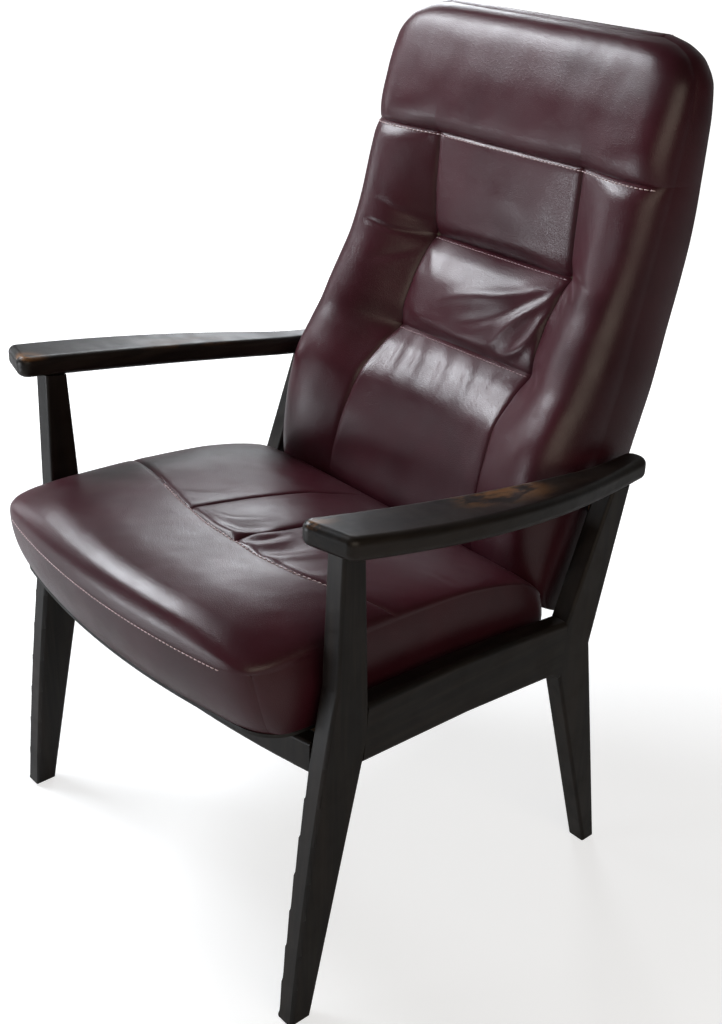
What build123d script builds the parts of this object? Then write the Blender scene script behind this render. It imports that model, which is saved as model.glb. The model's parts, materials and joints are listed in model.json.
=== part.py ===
from build123d import *
from math import atan2, cos, degrees, hypot, pi, radians, sin
import os

# High-backed recliner chair with a stained hardwood frame and leather upholstery.
# Millimetres. +Z is up and the sitter faces -Y, so the sitter's left is +X.
# Places along Y are given from a zero near the middle of the seat. The saved pieces are moved
# so that the origin is on the floor, in the middle of the chair's outline.
outline_shift = 2.3

# Frame in plan
inner_half = 260.0  # middle plane to the inner face of a leg
leg_thickness = 26.0
edge_round = 4.0  # softened edges of legs and cross rails
overrun = 12.0  # how far a cutting shape passes the face that it cuts

# Front leg, seen from the side
front_top_y = -216.0
front_top_width = 27.0
front_shoulder_y = -215.5
front_shoulder_width = 41.0
front_shoulder_rise = 30.0  # above the rail's top
front_knee_y = -218.5
front_knee_width = 50.0
front_knee_drop = 8.0  # the knee's front corner lies this far below the rail's top
front_joint_run = 6.0  # how far the joint with the rail leans over the rail's height
front_foot_y = -281.0
front_foot_width = 27.0
front_shin_hollow = 3.5
front_foot_round = 8.0

# Rear leg, seen from the side
rear_top_y = 185.5
rear_top_width = 29.0
rear_joint_y = 109.5
rear_joint_run = 4.0
rear_kink_y = 153.5
rear_kink_height = 320.0
rear_foot_y = 196.5
rear_foot_width = 20.0
rear_foot_round = 6.0

# Side rail
rail_top_front = 384.0
rail_dip_y = 42.0
rail_dip_height = 370.5
rail_dip_hollow = 3.0
rail_top_rear = 363.0
rail_low_front = 314.0
rail_low_middle_y = -45.0
rail_low_middle = 308.0
rail_low_rear_y = 77.0
rail_low_rear = 297.5
rail_heel = 287.0  # the underside curls down to here at the rear leg
rail_round = 6.0

# Armrest
arm_front_y = -267.0
arm_front_skew = 19.0  # the outer front corner stands this far back
arm_front_height = 610.5
arm_bend_y = 119.0
arm_bend_height = 545.0
arm_tail_height = 536.5
arm_hollow = 1.0
arm_thickness = 25.5
arm_inner_front = 254.0
arm_inner_swell = 12.0  # how far out the inner edge bows from its front corner
arm_inner_middle_y = -21.0
arm_width = 64.0  # at the front
arm_outer_swell = 9.5  # how far out the outer edge bows from its front corner
arm_outer_middle_y = -75.0
arm_bend_draw = 15.0  # how far in the outer edge has come at the bend
arm_tail_y = 229.5
arm_tail_draw = 1.0  # how far in the inner edge has come at the tail
arm_tail_width = 31.0
arm_corner = 12.0
arm_tail_corner_share = 0.45  # of the tail's width
arm_round = 8.0

# Cross rails and corner blocks
front_rail_thickness = 22.0
front_rail_low = 310.0
front_rail_height = 38.0
front_rail_y = -250.0  # front face, at the legs
front_rail_bow = 26.0
rear_rail_thickness = 22.0
rear_rail_low = 262.0
rear_rail_height = 38.0
rear_rail_y = 136.0
block_leg = 48.0
block_height = 28.0
block_tip = 8.0

# Dowels and glides
dowel_radius = 5.0
dowel_length = 36.0
dowel_end = 1.0  # glue room past each end
dowel_chamfer = 1.0
arm_dowel_depth = 14.0
leg_dowel_depth = 18.0
rail_dowel_edge = 20.0  # from a side rail's edge to its dowel
cross_dowel_edge = 12.0
glide_height = 3.0
glide_radius = 6.5
glide_edge = 1.0
glide_stem_radius = 2.5
glide_stem_length = 14.0

# Back, seen from the side: its rear line leans back and straightens towards the head
back_foot_y = 176.5
back_foot_z = 350.0
back_lean = 22.3
head_lean = 3.5
straight_length = 270.0  # from the back's foot to the start of the bend
back_bend_radius = 731.0
back_length = 648.0
third_seam = 233.0  # lengths along the rear line, from the back's foot
second_seam = 361.0
head_seam = 500.0

# Back upholstery: depths are measured square to the rear line
cover_depth = 8.0
cover_gap = 0.3  # between the outside panel and the cushion
boxing_depth = 60.0
back_half = 246.0  # half width at the small of the back
lumbar_depth = 127.0
boxing_draw = 3.0  # how far the seams are drawn in
bolster_width = 45.0  # from the side to the crest of a side bolster
cover_margin = 4.0
cover_corner = 70.0
cover_foot_corner = 18.0

# Back frame inside the upholstery
member_thickness = 24.0
member_outer = 226.0
member_depth = 50.0
member_drop = 88.0  # from the back's top to the top of its frame
web_plane = 40.0
web_thickness = 2.0
web_width = 50.0
web_ledge = 9.0
back_web_count = 5
back_web_first = 85.0  # from the back's foot to the middle of the lowest strap
back_web_drop = 90.0  # from the top of the back's frame to the middle of the highest strap
head_rail_width = 40.0
head_rail_thickness = 22.0
foot_rail_width = 40.0

# Back pivots in the rear legs
pivot_y = 178.0
pivot_z = 478.0
stud_radius = 5.0
stud_end_gap = 2.0
plate_thickness = 2.5
plate_width = 22.0
plate_length = 66.0
plate_screw_pitch = 44.0
bush_radius = 7.0
bush_end = 3.0
flange_radius = 10.0
flange_thickness = 3.0
flange_proud = 2.5  # the flange stands this far out of the upholstery
running_gap = 0.05
washer_radius = 10.5

# Seat hinges, under the back's foot
hinge_y = 154.0
hinge_z = 338.0
hinge_x = 172.0
leaf_thickness = 3.5
leaf_gap = 0.5
leaf_radius = 10.0
leaf_flange = 24.0
leaf_reach = 46.0
leaf_hang = 12.0  # the seat leaf's web below the base board
leaf_screw_offset = 16.0  # from the leaves' meeting plane to their screws
leaf_screw_shares = (0.25, 0.75)  # of the way along a flange
hinge_pin_radius = 4.0
hinge_head_radius = 6.5
hinge_head = 3.0
recline_angle = 18.0

# Seat, measured along and square to its base, which falls to the rear
seat_rear_y = 116.2  # rear edge of the base
seat_rear_z = 320.85
seat_slope = 5.2
seat_half = 250.0
seat_depth = 443.0
seat_bow = 33.0
seat_rake = 30.0  # the front leans out this far from the base to the boxing seam
seat_front_corner = 46.0
seat_rear_corner = 34.0
seat_crown_height = 116.0
seat_fall = 4.0  # the crown falls this much more than the base
board_thickness = 4.0
board_margin = 3.0
seat_frame_margin = 6.0
seat_frame_thickness = 24.0
seat_frame_height = 30.0
seat_web_count = 5
seat_web_front = 95.0  # from the seat's front to the middle of the first strap
seat_web_rear = 68.0  # from the seat's rear to the middle of the last strap
seat_web_end = 4.0  # a strap's end to the outside of the seat's frame
cross_seam_place = 131.0  # the sewn line across the seat, at the middle
cross_seam_bow = 45.0
cross_seam_half = 236.0
long_seam_front_x = 48.0
long_seam_rear_x = 33.0
long_seam_end = 93.0  # from the seat's rear
groove_width = 3.0
groove_depth = 4.0

# Seat slides on the side rails
slide_from_rear = 211.0  # from the seat's rear to the slide pin
slide_drop = 13.0  # from the seat's base down to the slide pin
slide_pin_radius = 3.0
sleeve_radius = 5.0
sleeve_end = 1.5
slot_gap = 0.3
guide_thickness = 6.0
guide_wall = 8.0
guide_tail_angle = 7.0
guide_screw_angle = 4.0
slot_spare_angle = 1.5
bracket_thickness = 3.0
bracket_width = 28.0
bracket_flange = 26.0
bracket_outer = 243.0
bracket_radius = 9.0
bracket_screw_pitch = 16.0

# Wood screws
screw_radius = 1.75
screw_head_radius = 3.5
screw_head = 2.0
screw_length = 15.0
plate_screw_length = 9.5
block_rail_screw_length = 28.0
block_leg_screw_length = 20.0
block_screw_reach = 16.0  # from the rail and from the leg to the heads of the block's screws

# Worked out from the sizes above
outer_half = inner_half + leg_thickness
leg_middle = inner_half + leg_thickness / 2
member_inner = member_outer - member_thickness
bend_angle = radians(back_lean - head_lean)
bend_length = back_bend_radius * bend_angle
member_length = back_length - member_drop
seat_place = Pos(0, seat_rear_y, seat_rear_z) * Rot(-seat_slope, 0, 0) * Pos(0, -seat_depth, 0)
seat_middle = seat_depth / 2  # the crown's height is measured here
slide_place = seat_depth - slide_from_rear
slide_point = (seat_place * Pos(0, slide_place, -slide_drop)).position
slide_y = slide_point.Y
slide_z = slide_point.Z
slide_radius = hypot(pivot_y - hinge_y, pivot_z - hinge_z)
slide_centre = (slide_y + pivot_y - hinge_y, slide_z + pivot_z - hinge_z)
slide_start = degrees(atan2(hinge_z - pivot_z, hinge_y - pivot_y))
hinge_in_seat = (seat_place.inverse() * Pos(0, hinge_y, hinge_z)).position
hinge_place = hinge_in_seat.Y
hinge_rise = hinge_in_seat.Z

# Stations of the back's cushion. Each row runs from one seam to the next. A station is its
# share of the way, then shares of the half width, the boxing depth, the depth at the bolster's
# crest, the place and depth of the upright seam, and the depth in the middle.
loin_row_shares = (
    (0.00, 0.955, 0.60, 0.430, 0.560, 0.405, 0.395),
    (0.04, 0.968, 0.85, 0.575, 0.560, 0.530, 0.500),
    (0.12, 0.980, 1.00, 0.740, 0.550, 0.680, 0.630),
    (0.25, 0.988, 1.00, 0.865, 0.545, 0.770, 0.690),
    (0.48, 0.996, 1.00, 0.970, 0.530, 0.830, 0.720),
    (0.66, 1.000, 1.00, 1.000, 0.515, 0.800, 0.735),
    (0.88, 0.990, 1.00, 0.930, 0.490, 0.640, 0.620),
    (1.00, 0.985, 1.00, 0.880, 0.475, 0.530, 0.505),
)
waist_row_shares = (
    (0.00, 0.985, 1.00, 0.880, 0.475, 0.530, 0.505),
    (0.20, 0.980, 1.00, 0.860, 0.480, 0.560, 0.600),
    (0.50, 0.965, 1.00, 0.835, 0.485, 0.545, 0.620),
    (0.80, 0.952, 1.00, 0.800, 0.487, 0.470, 0.530),
    (1.00, 0.947, 1.00, 0.780, 0.490, 0.400, 0.375),
)
shoulder_row_shares = (
    (0.00, 0.947, 1.00, 0.780, 0.490, 0.400, 0.375),
    (0.20, 0.947, 1.00, 0.757, 0.492, 0.455, 0.500),
    (0.55, 0.955, 1.00, 0.727, 0.495, 0.500, 0.545),
    (0.85, 0.950, 1.00, 0.695, 0.500, 0.485, 0.525),
    (1.00, 0.943, 1.00, 0.640, 0.500, 0.475, 0.485),
)
head_row_shares = (
    (0.00, 0.943, 1.00, 0.640, 0.500, 0.475, 0.485),
    (0.14, 0.943, 1.00, 0.690, 0.500, 0.620, 0.600),
    (0.42, 0.943, 1.00, 0.665, 0.500, 0.635, 0.625),
    (0.70, 0.925, 1.00, 0.615, 0.500, 0.600, 0.595),
    (0.87, 0.860, 0.93, 0.535, 0.500, 0.525, 0.520),
    (0.96, 0.775, 0.75, 0.435, 0.500, 0.425, 0.420),
    (1.00, 0.670, 0.55, 0.310, 0.500, 0.305, 0.300),
)
corner_bulge_share = 0.74  # where an arc from the boxing to the crest passes
bolster_run_share = 0.45  # where an arc from the upright seam to the crest passes
bolster_rise_share = 0.72

# Levels of the seat cushion, from the base board up. A level is its share of the height, of the
# crown's fall and of the front's rake, then how far the sides are drawn in as a share of the
# half width, and the front and the rear as shares of the depth.
boxing_shares = (
    (0.000, 0.00, 0.00, 0.012, 0.007, 0.007),
    (0.277, 0.30, 0.50, -0.004, -0.002, 0.001),
    (0.580, 0.58, 1.00, 0.012, 0.007, 0.020),
)
crown_shares = (
    (0.580, 0.58, 1.00, 0.012, 0.007, 0.020),
    (0.714, 0.70, 1.00, 0.004, 0.010, 0.073),
    (0.830, 0.82, 1.00, 0.036, 0.040, 0.140),
    (0.902, 0.90, 1.00, 0.096, 0.090, 0.225),
    (0.964, 0.95, 1.00, 0.240, 0.180, 0.320),
    (1.000, 1.00, 1.00, 0.480, 0.310, 0.450),
)


def across(face, low, high):
    """A face drawn in the side view, made solid between two places across the chair."""
    return extrude(Plane.YZ.offset(low) * face, amount=high - low)


def upward(face, low, high):
    """A face drawn in the top view, made solid between two heights."""
    return extrude(Plane.XY.offset(low) * face, amount=high - low)


def outline(*points):
    """A closed outline of straight lines."""
    return make_face(Polyline(*points, close=True).edges())


def rod(start, end, radius):
    """A round bar between two points."""
    way = Vector(end) - Vector(start)
    return Part(Solid.make_cylinder(radius, way.length, Plane(origin=start, z_dir=way)).wrapped)


def mirrored(part):
    return mirror(part, about=Plane.YZ)


def group(parts):
    """Like pieces that share a node, with their mirror images."""
    return Compound([solid for part in parts for solid in part.solids() + mirrored(part).solids()])


def save(part, node):
    place = Pos(0, outline_shift, 0)
    export_step(Compound([place * solid for solid in part.solids()]), f"parts/{node}.step")


def save_pair(part, node):
    """Drawn on the sitter's left, which is +X."""
    save(part, f"{node}_left")
    save(mirrored(part), f"{node}_right")


def side_rims(part):
    """The outline's edges on both faces of a piece that was drawn in the side view."""
    faces = part.faces().filter_by(Axis.X).sort_by(Axis.X)
    return faces[0].edges() + faces[-1].edges()


# Wood screws


def screw(head, way, length):
    """A countersunk screw: its head's face at a point, going in along a unit direction."""
    plane = Plane(origin=head, z_dir=way)
    cone = Solid.make_cone(screw_head_radius, screw_radius, screw_head, plane)
    shank = Solid.make_cylinder(screw_radius, length, plane)
    return Part((cone + shank).wrapped)


def screws(places):
    return [screw(*place) for place in places]


def drilled(part, places):
    """Cuts the screws' own spaces, and the way in to their heads."""
    for head, way, length in places:
        outside = Vector(head) - Vector(way) * overrun
        part = part - screw(head, way, length) - rod(outside, head, screw_head_radius)
    return part


def drilled_twice(part, places):
    """The same, on both sides of a piece that crosses the middle."""
    return mirrored(drilled(mirrored(drilled(part, places)), places))


# Armrest


def arm_edges(rise):
    """The arm's top line in the side view, moved by rise: a long slope, then a tail that levels out."""
    front = (arm_front_y - overrun, arm_front_height + rise)
    bend = (arm_bend_y, arm_bend_height + rise)
    tail = (arm_tail_y + overrun, arm_tail_height + rise)
    slope = SagittaArc(front, bend, -arm_hollow)
    return [slope, TangentArc(bend, tail, tangent=slope % 1)]


def arm_band():
    """The side view of the arm, a band of even thickness."""
    top = arm_edges(0)
    low = arm_edges(-arm_thickness)
    front = Line(low[0] @ 0, top[0] @ 0)
    rear = Line(top[1] @ 1, low[1] @ 1)
    return make_face(top + low + [front, rear])


def arm_plan():
    """The top view of the left arm: broad at the front, bowed out, drawn in to a round tail."""
    arm_outer_front = arm_inner_front + arm_width
    arm_tail_inner = arm_inner_front - arm_tail_draw
    inner_front = (arm_inner_front, arm_front_y)
    inner_middle = (arm_inner_front + arm_inner_swell, arm_inner_middle_y)
    inner_tail = (arm_tail_inner, arm_tail_y)
    outer_front = (arm_outer_front, arm_front_y + arm_front_skew)
    outer_middle = (arm_outer_front + arm_outer_swell, arm_outer_middle_y)
    outer_bend = (arm_outer_front - arm_bend_draw, arm_bend_y)
    outer_tail = (arm_tail_inner + arm_tail_width, arm_tail_y)
    outer = ThreePointArc(outer_front, outer_middle, outer_bend)
    inner = ThreePointArc(inner_tail, inner_middle, inner_front)
    tail = TangentArc(outer_bend, outer_tail, tangent=outer % 1)
    face = make_face([Line(inner_front, outer_front), outer, tail, Line(outer_tail, inner_tail), inner])
    face = fillet(face.vertices().sort_by(Axis.Y)[:2], arm_corner)
    return fillet(face.vertices().sort_by(Axis.Y)[-2:], arm_tail_width * arm_tail_corner_share)


def arm_cutter():
    """The space between the arm's top and underside, right across the left half of the chair."""
    return across(arm_band(), 0, arm_inner_front + arm_width + arm_outer_swell + overrun)


def armrest():
    arm = upward(arm_plan(), rail_top_front, arm_front_height + overrun) & arm_cutter()
    rims = [edge for edge in arm.edges() if abs((edge % 0.5).Z) < sin(pi / 4)]
    arm = fillet(rims, arm_round)
    for start, end in arm_dowel_bores():
        arm = arm - rod(start, end, dowel_radius)
    return arm


def underside(y):
    """Height of the arm's underside where a leg meets it."""
    share = (y - arm_front_y) / (arm_bend_y - arm_front_y)
    slope = arm_front_height + (arm_bend_height - arm_front_height) * min(share, 1.0)
    drop = arm_bend_height - arm_tail_height
    tail = max(share - 1.0, 0.0) * (arm_bend_y - arm_front_y) / (arm_tail_y - arm_bend_y)
    return slope - drop * tail - arm_thickness


def arm_dowel_bores():
    ends = []
    for y in (front_top_y, rear_top_y):
        seat = underside(y)
        low = seat - dowel_length + arm_dowel_depth - dowel_end
        ends.append(((leg_middle, y, low), (leg_middle, y, seat + arm_dowel_depth + dowel_end)))
    return ends


# Legs and side rails


def front_leg_face():
    top = underside(front_top_y) + arm_thickness / 2
    top_front = (front_top_y - front_top_width / 2, top)
    top_rear = (front_top_y + front_top_width / 2, top)
    shoulder = (front_shoulder_y - front_shoulder_width / 2, rail_top_front + front_shoulder_rise)
    knee_front = (front_knee_y - front_knee_width / 2, rail_top_front - front_knee_drop)
    knee_rear = (front_knee_y + front_knee_width / 2, rail_top_front)
    knee_low = (front_knee_y + front_knee_width / 2 - front_joint_run, rail_low_front)
    foot_front = (front_foot_y - front_foot_width / 2, glide_height)
    foot_rear = (front_foot_y + front_foot_width / 2, glide_height)
    edges = [
        Line(top_front, top_rear),
        Line(top_rear, knee_rear),
        Line(knee_rear, knee_low),
        Line(knee_low, foot_rear),
        Line(foot_rear, foot_front),
        SagittaArc(foot_front, knee_front, front_shin_hollow),
        Line(knee_front, shoulder),
        Line(shoulder, top_front),
    ]
    face = make_face(edges)
    return fillet(face.vertices().sort_by(Axis.Z)[:2], front_foot_round)


def rear_leg_face():
    top = underside(rear_top_y) + arm_thickness / 2
    foot_front = (rear_foot_y - rear_foot_width / 2, glide_height)
    foot_rear = (rear_foot_y + rear_foot_width / 2, glide_height)
    face = outline(
        (rear_top_y - rear_top_width / 2, top),
        (rear_top_y + rear_top_width / 2, top),
        (rear_kink_y, rear_kink_height),
        foot_rear,
        foot_front,
        (rear_joint_y - rear_joint_run, rail_heel),
        (rear_joint_y, rail_top_rear),
    )
    return fillet(face.vertices().sort_by(Axis.Z)[:2], rear_foot_round)


def leg_blank(face):
    return across(face, inner_half, outer_half)


def softened(leg, joint_low, joint_high, joint_y, joint_run):
    """Rounds a leg's long edges, except where the side rail meets it flush."""

    def at_joint(edge):
        middle = edge @ 0.5
        return joint_low < middle.Z < joint_high and abs(middle.Y - joint_y) < joint_run

    return fillet([edge for edge in side_rims(leg) if not at_joint(edge)], edge_round)


def front_leg():
    joint_y = front_knee_y + front_knee_width / 2
    blank = leg_blank(front_leg_face())
    leg = softened(blank, rail_low_front, rail_top_front, joint_y, front_joint_run)
    leg = leg - arm_cutter()
    for start, end in [arm_dowel_bores()[0], cross_dowel_bores()[0]] + rail_dowel_bores()[:2]:
        leg = leg - rod(start, end, dowel_radius)
    return drilled(leg - glide_at(front_foot_y), block_screws()[1:])


def rear_leg():
    blank = leg_blank(rear_leg_face())
    leg = softened(blank, rail_heel, rail_top_rear, rear_joint_y, rear_joint_run)
    leg = leg - arm_cutter()
    for start, end in [arm_dowel_bores()[1]] + cross_dowel_bores()[1:] + rail_dowel_bores()[2:]:
        leg = leg - rod(start, end, dowel_radius)
    return drilled(leg - glide_at(rear_foot_y), plate_screws())


def rail_face():
    """Side view of the side rail. Each line of its outline runs straight on into the legs."""
    joint = front_knee_y + front_knee_width / 2
    top_front = (joint, rail_top_front)
    dip = (rail_dip_y, rail_dip_height)
    top_rear = (rear_joint_y, rail_top_rear)
    heel_start = (rail_low_rear_y, rail_low_rear)
    heel = (rear_joint_y - rear_joint_run, rail_heel)
    low_middle = (rail_low_middle_y, rail_low_middle)
    low_front = (joint - front_joint_run, rail_low_front)
    hollow = SagittaArc(top_front, dip, rail_dip_hollow)
    top_line = Line(dip, top_rear)
    low_line = Line(low_middle, heel_start)
    curl = TangentArc(heel_start, heel, tangent=low_line % 1)
    front_line = Line(low_middle, low_front)
    run_ons = [
        Line(hollow @ 0, hollow @ 0 - (hollow % 0) * overrun),
        Line(top_line @ 1, top_line @ 1 + (top_line % 1) * overrun),
        Line(curl @ 1, curl @ 1 + (curl % 1) * overrun),
        Line(front_line @ 1, front_line @ 1 + (front_line % 1) * overrun),
    ]
    ends = [Line(run_ons[0] @ 1, run_ons[3] @ 1), Line(run_ons[1] @ 1, run_ons[2] @ 1)]
    return make_face([hollow, top_line, low_line, curl, front_line] + run_ons + ends)


def side_rail():
    rail = across(rail_face(), inner_half, outer_half)
    upper = [edge for edge in side_rims(rail) if abs((edge % 0.5).Y) > sin(pi / 4)]
    rail = fillet(upper, rail_round) - leg_blank(front_leg_face()) - leg_blank(rear_leg_face())
    for start, end in rail_dowel_bores():
        rail = rail - rod(start, end, dowel_radius)
    return drilled(rail, guide_screws())


def rail_dowel_bores():
    """Two dowels from the rail into each leg."""
    front = front_knee_y + front_knee_width / 2
    rear = rear_joint_y
    half = dowel_length / 2 + dowel_end
    places = (
        (front, rail_top_front - rail_dowel_edge),
        (front, rail_low_front + rail_dowel_edge),
        (rear, rail_top_rear - rail_dowel_edge),
        (rear, rail_low_rear + rail_dowel_edge),
    )
    return [((leg_middle, y - half, z), (leg_middle, y + half, z)) for y, z in places]


def cross_dowel_bores():
    """Dowels between the cross rails and the legs: one at the front, two at the rear."""
    low = inner_half - dowel_length + leg_dowel_depth - dowel_end
    high = inner_half + leg_dowel_depth + dowel_end
    front_y = front_rail_y + front_rail_thickness / 2
    places = (
        (front_y, front_rail_low + front_rail_height / 2),
        (rear_rail_y, rear_rail_low + cross_dowel_edge),
        (rear_rail_y, rear_rail_low + rear_rail_height - cross_dowel_edge),
    )
    return [((low, y, z), (high, y, z)) for y, z in places]


def front_rail_plan():
    """Top view of the front rail, bowed forward between the front legs."""

    def bowed(y):
        return ThreePointArc((-inner_half, y), (0, y - front_rail_bow), (inner_half, y))

    front = bowed(front_rail_y)
    rear = bowed(front_rail_y + front_rail_thickness)
    return make_face([front, rear, Line(front @ 0, rear @ 0), Line(front @ 1, rear @ 1)])


def front_rail():
    rail = upward(front_rail_plan(), front_rail_low, front_rail_low + front_rail_height)
    rail = fillet([edge for edge in rail.edges() if edge.length > inner_half], edge_round)
    start, end = cross_dowel_bores()[0]
    bore = rod(start, end, dowel_radius)
    return drilled_twice(rail - bore - mirrored(bore), block_screws()[:1])


def rear_rail():
    face = outline(
        (rear_rail_y - rear_rail_thickness / 2, rear_rail_low),
        (rear_rail_y + rear_rail_thickness / 2, rear_rail_low),
        (rear_rail_y + rear_rail_thickness / 2, rear_rail_low + rear_rail_height),
        (rear_rail_y - rear_rail_thickness / 2, rear_rail_low + rear_rail_height),
    )
    rail = across(face, -inner_half, inner_half)
    rail = fillet([edge for edge in rail.edges() if edge.length > inner_half], edge_round)
    for start, end in cross_dowel_bores()[1:]:
        bore = rod(start, end, dowel_radius)
        rail = rail - bore - mirrored(bore)
    return rail


def corner_block():
    """A glued block in the corner between the front rail and the leg and side rail."""
    back = front_rail_y + front_rail_thickness
    face = outline(
        (inner_half, back),
        (inner_half, back + block_leg),
        (inner_half - block_tip, back + block_leg),
        (inner_half - block_leg, back + block_tip),
        (inner_half - block_leg, back - front_rail_thickness / 2),
    )
    low = front_rail_low + (front_rail_height - block_height) / 2
    block = upward(face - front_rail_plan(), low, low + block_height)
    return drilled(block, block_screws())


def block_screws():
    """Level screws through the block's slanting face: one to the front rail, one to the leg."""
    y = front_rail_y + front_rail_thickness + block_screw_reach
    height = front_rail_low + front_rail_height / 2
    to_rail = ((inner_half - 2 * block_screw_reach, y, height), (0, -1, 0), block_rail_screw_length)
    to_leg = ((inner_half - block_screw_reach, y, height), (1, 0, 0), block_leg_screw_length)
    return [to_rail, to_leg]


def dowel(start, end):
    """A dowel with softened ends, standing off both ends of its bore."""
    way = (Vector(*end) - Vector(*start)).normalized()
    low = Vector(*start) + way * dowel_end
    high = Vector(*end) - way * dowel_end
    pin = rod((low.X, low.Y, low.Z), (high.X, high.Y, high.Z), dowel_radius)
    return chamfer(pin.edges().filter_by(GeomType.CIRCLE), dowel_chamfer)


def glide_at(y):
    """A nylon glide with its nail, under a foot."""
    disc = rod((leg_middle, y, 0), (leg_middle, y, glide_height), glide_radius)
    disc = chamfer(disc.edges().group_by(Axis.Z)[0], glide_edge)
    stem_top = glide_height + glide_stem_length
    return disc + rod((leg_middle, y, 0), (leg_middle, y, stem_top), glide_stem_radius)


# Back pivots


def leg_slope():
    """Angle of the rear leg's upper part from the vertical."""
    top = underside(rear_top_y) + arm_thickness / 2
    low = (rear_joint_y + rear_kink_y) / 2
    return atan2(rear_top_y - low, top - rear_kink_height)


def plate_points():
    """Where the screws pass a pivot plate, in the side view."""
    run = plate_screw_pitch / 2 * sin(leg_slope())
    rise = plate_screw_pitch / 2 * cos(leg_slope())
    return [(pivot_y - run, pivot_z - rise), (pivot_y + run, pivot_z + rise)]


def plate_screws():
    face = inner_half - plate_thickness
    return [((face, y, z), (1, 0, 0), plate_screw_length) for y, z in plate_points()]


def pivot_plate():
    """A steel plate on the leg's inner face, with a riveted stud that carries the back."""
    slot = Rot(0, 0, 90 - degrees(leg_slope())) * SlotOverall(plate_length, plate_width)
    face = Pos(pivot_y, pivot_z) * slot
    plate = across(face, inner_half - plate_thickness, inner_half)
    end = member_inner + bush_end + stud_end_gap
    plate = plate + rod((inner_half, pivot_y, pivot_z), (end, pivot_y, pivot_z), stud_radius)
    return drilled(plate, plate_screws())


def pivot_bush():
    """A flanged nylon bush through the side of the back."""
    end = (member_inner + bush_end, pivot_y, pivot_z)
    seat = (back_half + flange_proud, pivot_y, pivot_z)
    face = (back_half + flange_proud + flange_thickness, pivot_y, pivot_z)
    bush = rod(end, face, bush_radius) + rod(seat, face, flange_radius)
    bush = bush - rod(end, face, stud_radius + running_gap)
    return bush


def friction_washer():
    """A cork washer pressed between the bush and the plate, which holds the back where it is set."""
    inner = (back_half + flange_proud + flange_thickness + running_gap, pivot_y, pivot_z)
    outer = (inner_half - plate_thickness, pivot_y, pivot_z)
    return rod(inner, outer, washer_radius) - rod(inner, outer, stud_radius + running_gap)


# Back frame and upholstery


def spine(length):
    """Place and lean of the back's rear line, at a length along it from the back's foot."""
    lean = radians(back_lean)
    straight = min(length, straight_length)
    y = back_foot_y + straight * sin(lean)
    z = back_foot_z + straight * cos(lean)
    turn = min(max(length - straight_length, 0), bend_length) / back_bend_radius
    y += back_bend_radius * (cos(lean - turn) - cos(lean))
    z += back_bend_radius * (sin(lean) - sin(lean - turn))
    rest = max(length - straight_length - bend_length, 0)
    return y + rest * sin(lean - turn), z + rest * cos(lean - turn), lean - turn


def back_point(length, depth):
    """A point in the side view, at a depth in front of the rear line."""
    y, z, lean = spine(length)
    return (y - depth * cos(lean), z + depth * sin(lean))


def back_line(start, end, depth):
    """A line that follows the back's rear line at a depth in front of it."""
    bend_end = straight_length + bend_length
    bends = [place for place in (straight_length, bend_end) if start < place < end]
    places = [start] + bends + [end]
    edges = []
    for low, high in zip(places, places[1:]):
        middle = (low + high) / 2
        points = [back_point(place, depth) for place in (low, middle, high)]
        if straight_length < middle < bend_end:
            edges.append(ThreePointArc(*points))
        else:
            edges.append(Line(points[0], points[2]))
    return edges


def back_band(start, end, shallow, deep):
    """Side view of a layer of the back, between two lengths and two depths."""
    near = back_line(start, end, shallow)
    far = back_line(start, end, deep)
    ends = [Line(near[0] @ 0, far[0] @ 0), Line(near[-1] @ 1, far[-1] @ 1)]
    return make_face(near + far + ends)


def back_plane(length):
    """A plane square to the rear line: across the chair, and forwards out of the back."""
    y, z, lean = spine(length)
    return Plane(origin=(0, y, z), x_dir=(-1, 0, 0), z_dir=(0, sin(lean), cos(lean)))


def back_section(length, half, boxing, crest, join, join_depth, middle):
    """Outline across the back: boxing at the sides, two bolsters and a hollow between them."""
    side = half - boxing_draw
    crest_x = half - bolster_width
    bulge = (
        crest_x + (side - crest_x) * corner_bulge_share,
        boxing + (crest - boxing) * corner_bulge_share,
    )
    fall = (
        join + (crest_x - join) * bolster_run_share,
        join_depth + (crest - join_depth) * bolster_rise_share,
    )
    edges = [Line((-side, cover_depth), (side, cover_depth))]
    for way in (1, -1):
        edges += [
            ThreePointArc(
                (way * side, cover_depth), (way * half, (cover_depth + boxing) / 2), (way * side, boxing)
            ),
            ThreePointArc((way * side, boxing), (way * bulge[0], bulge[1]), (way * crest_x, crest)),
            ThreePointArc((way * crest_x, crest), (way * fall[0], fall[1]), (way * join, join_depth)),
        ]
    edges.append(ThreePointArc((-join, join_depth), (0, middle), (join, join_depth)))
    return back_plane(length) * make_face(edges)


def back_row(shares, start, end):
    """One row of the back's cushion, from seam to seam."""
    sections = []
    for place, half, boxing, crest, join, join_depth, middle in shares:
        sections.append(
            back_section(
                start + (end - start) * place,
                back_half * half,
                boxing_depth * boxing,
                lumbar_depth * crest,
                back_half * half * join,
                lumbar_depth * join_depth,
                lumbar_depth * middle,
            )
        )
    return loft(sections)


def side_member():
    """One upright of the back's frame, with a ledge along its inner edge for the webbing."""
    blank = across(
        back_band(0, member_length, cover_depth, cover_depth + member_depth), member_inner, member_outer
    )
    ledge = across(
        back_band(-overrun, member_length + overrun, web_plane, cover_depth + member_depth + overrun),
        member_inner - overrun,
        member_inner + web_ledge,
    )
    bush = rod(
        (member_inner, pivot_y, pivot_z), (member_outer + overrun, pivot_y, pivot_z), bush_radius
    )
    return blank - ledge - bush


def back_head_rail():
    face = back_band(
        member_length - head_rail_width, member_length, cover_depth, cover_depth + head_rail_thickness
    )
    return across(face, -member_inner, member_inner)


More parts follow.
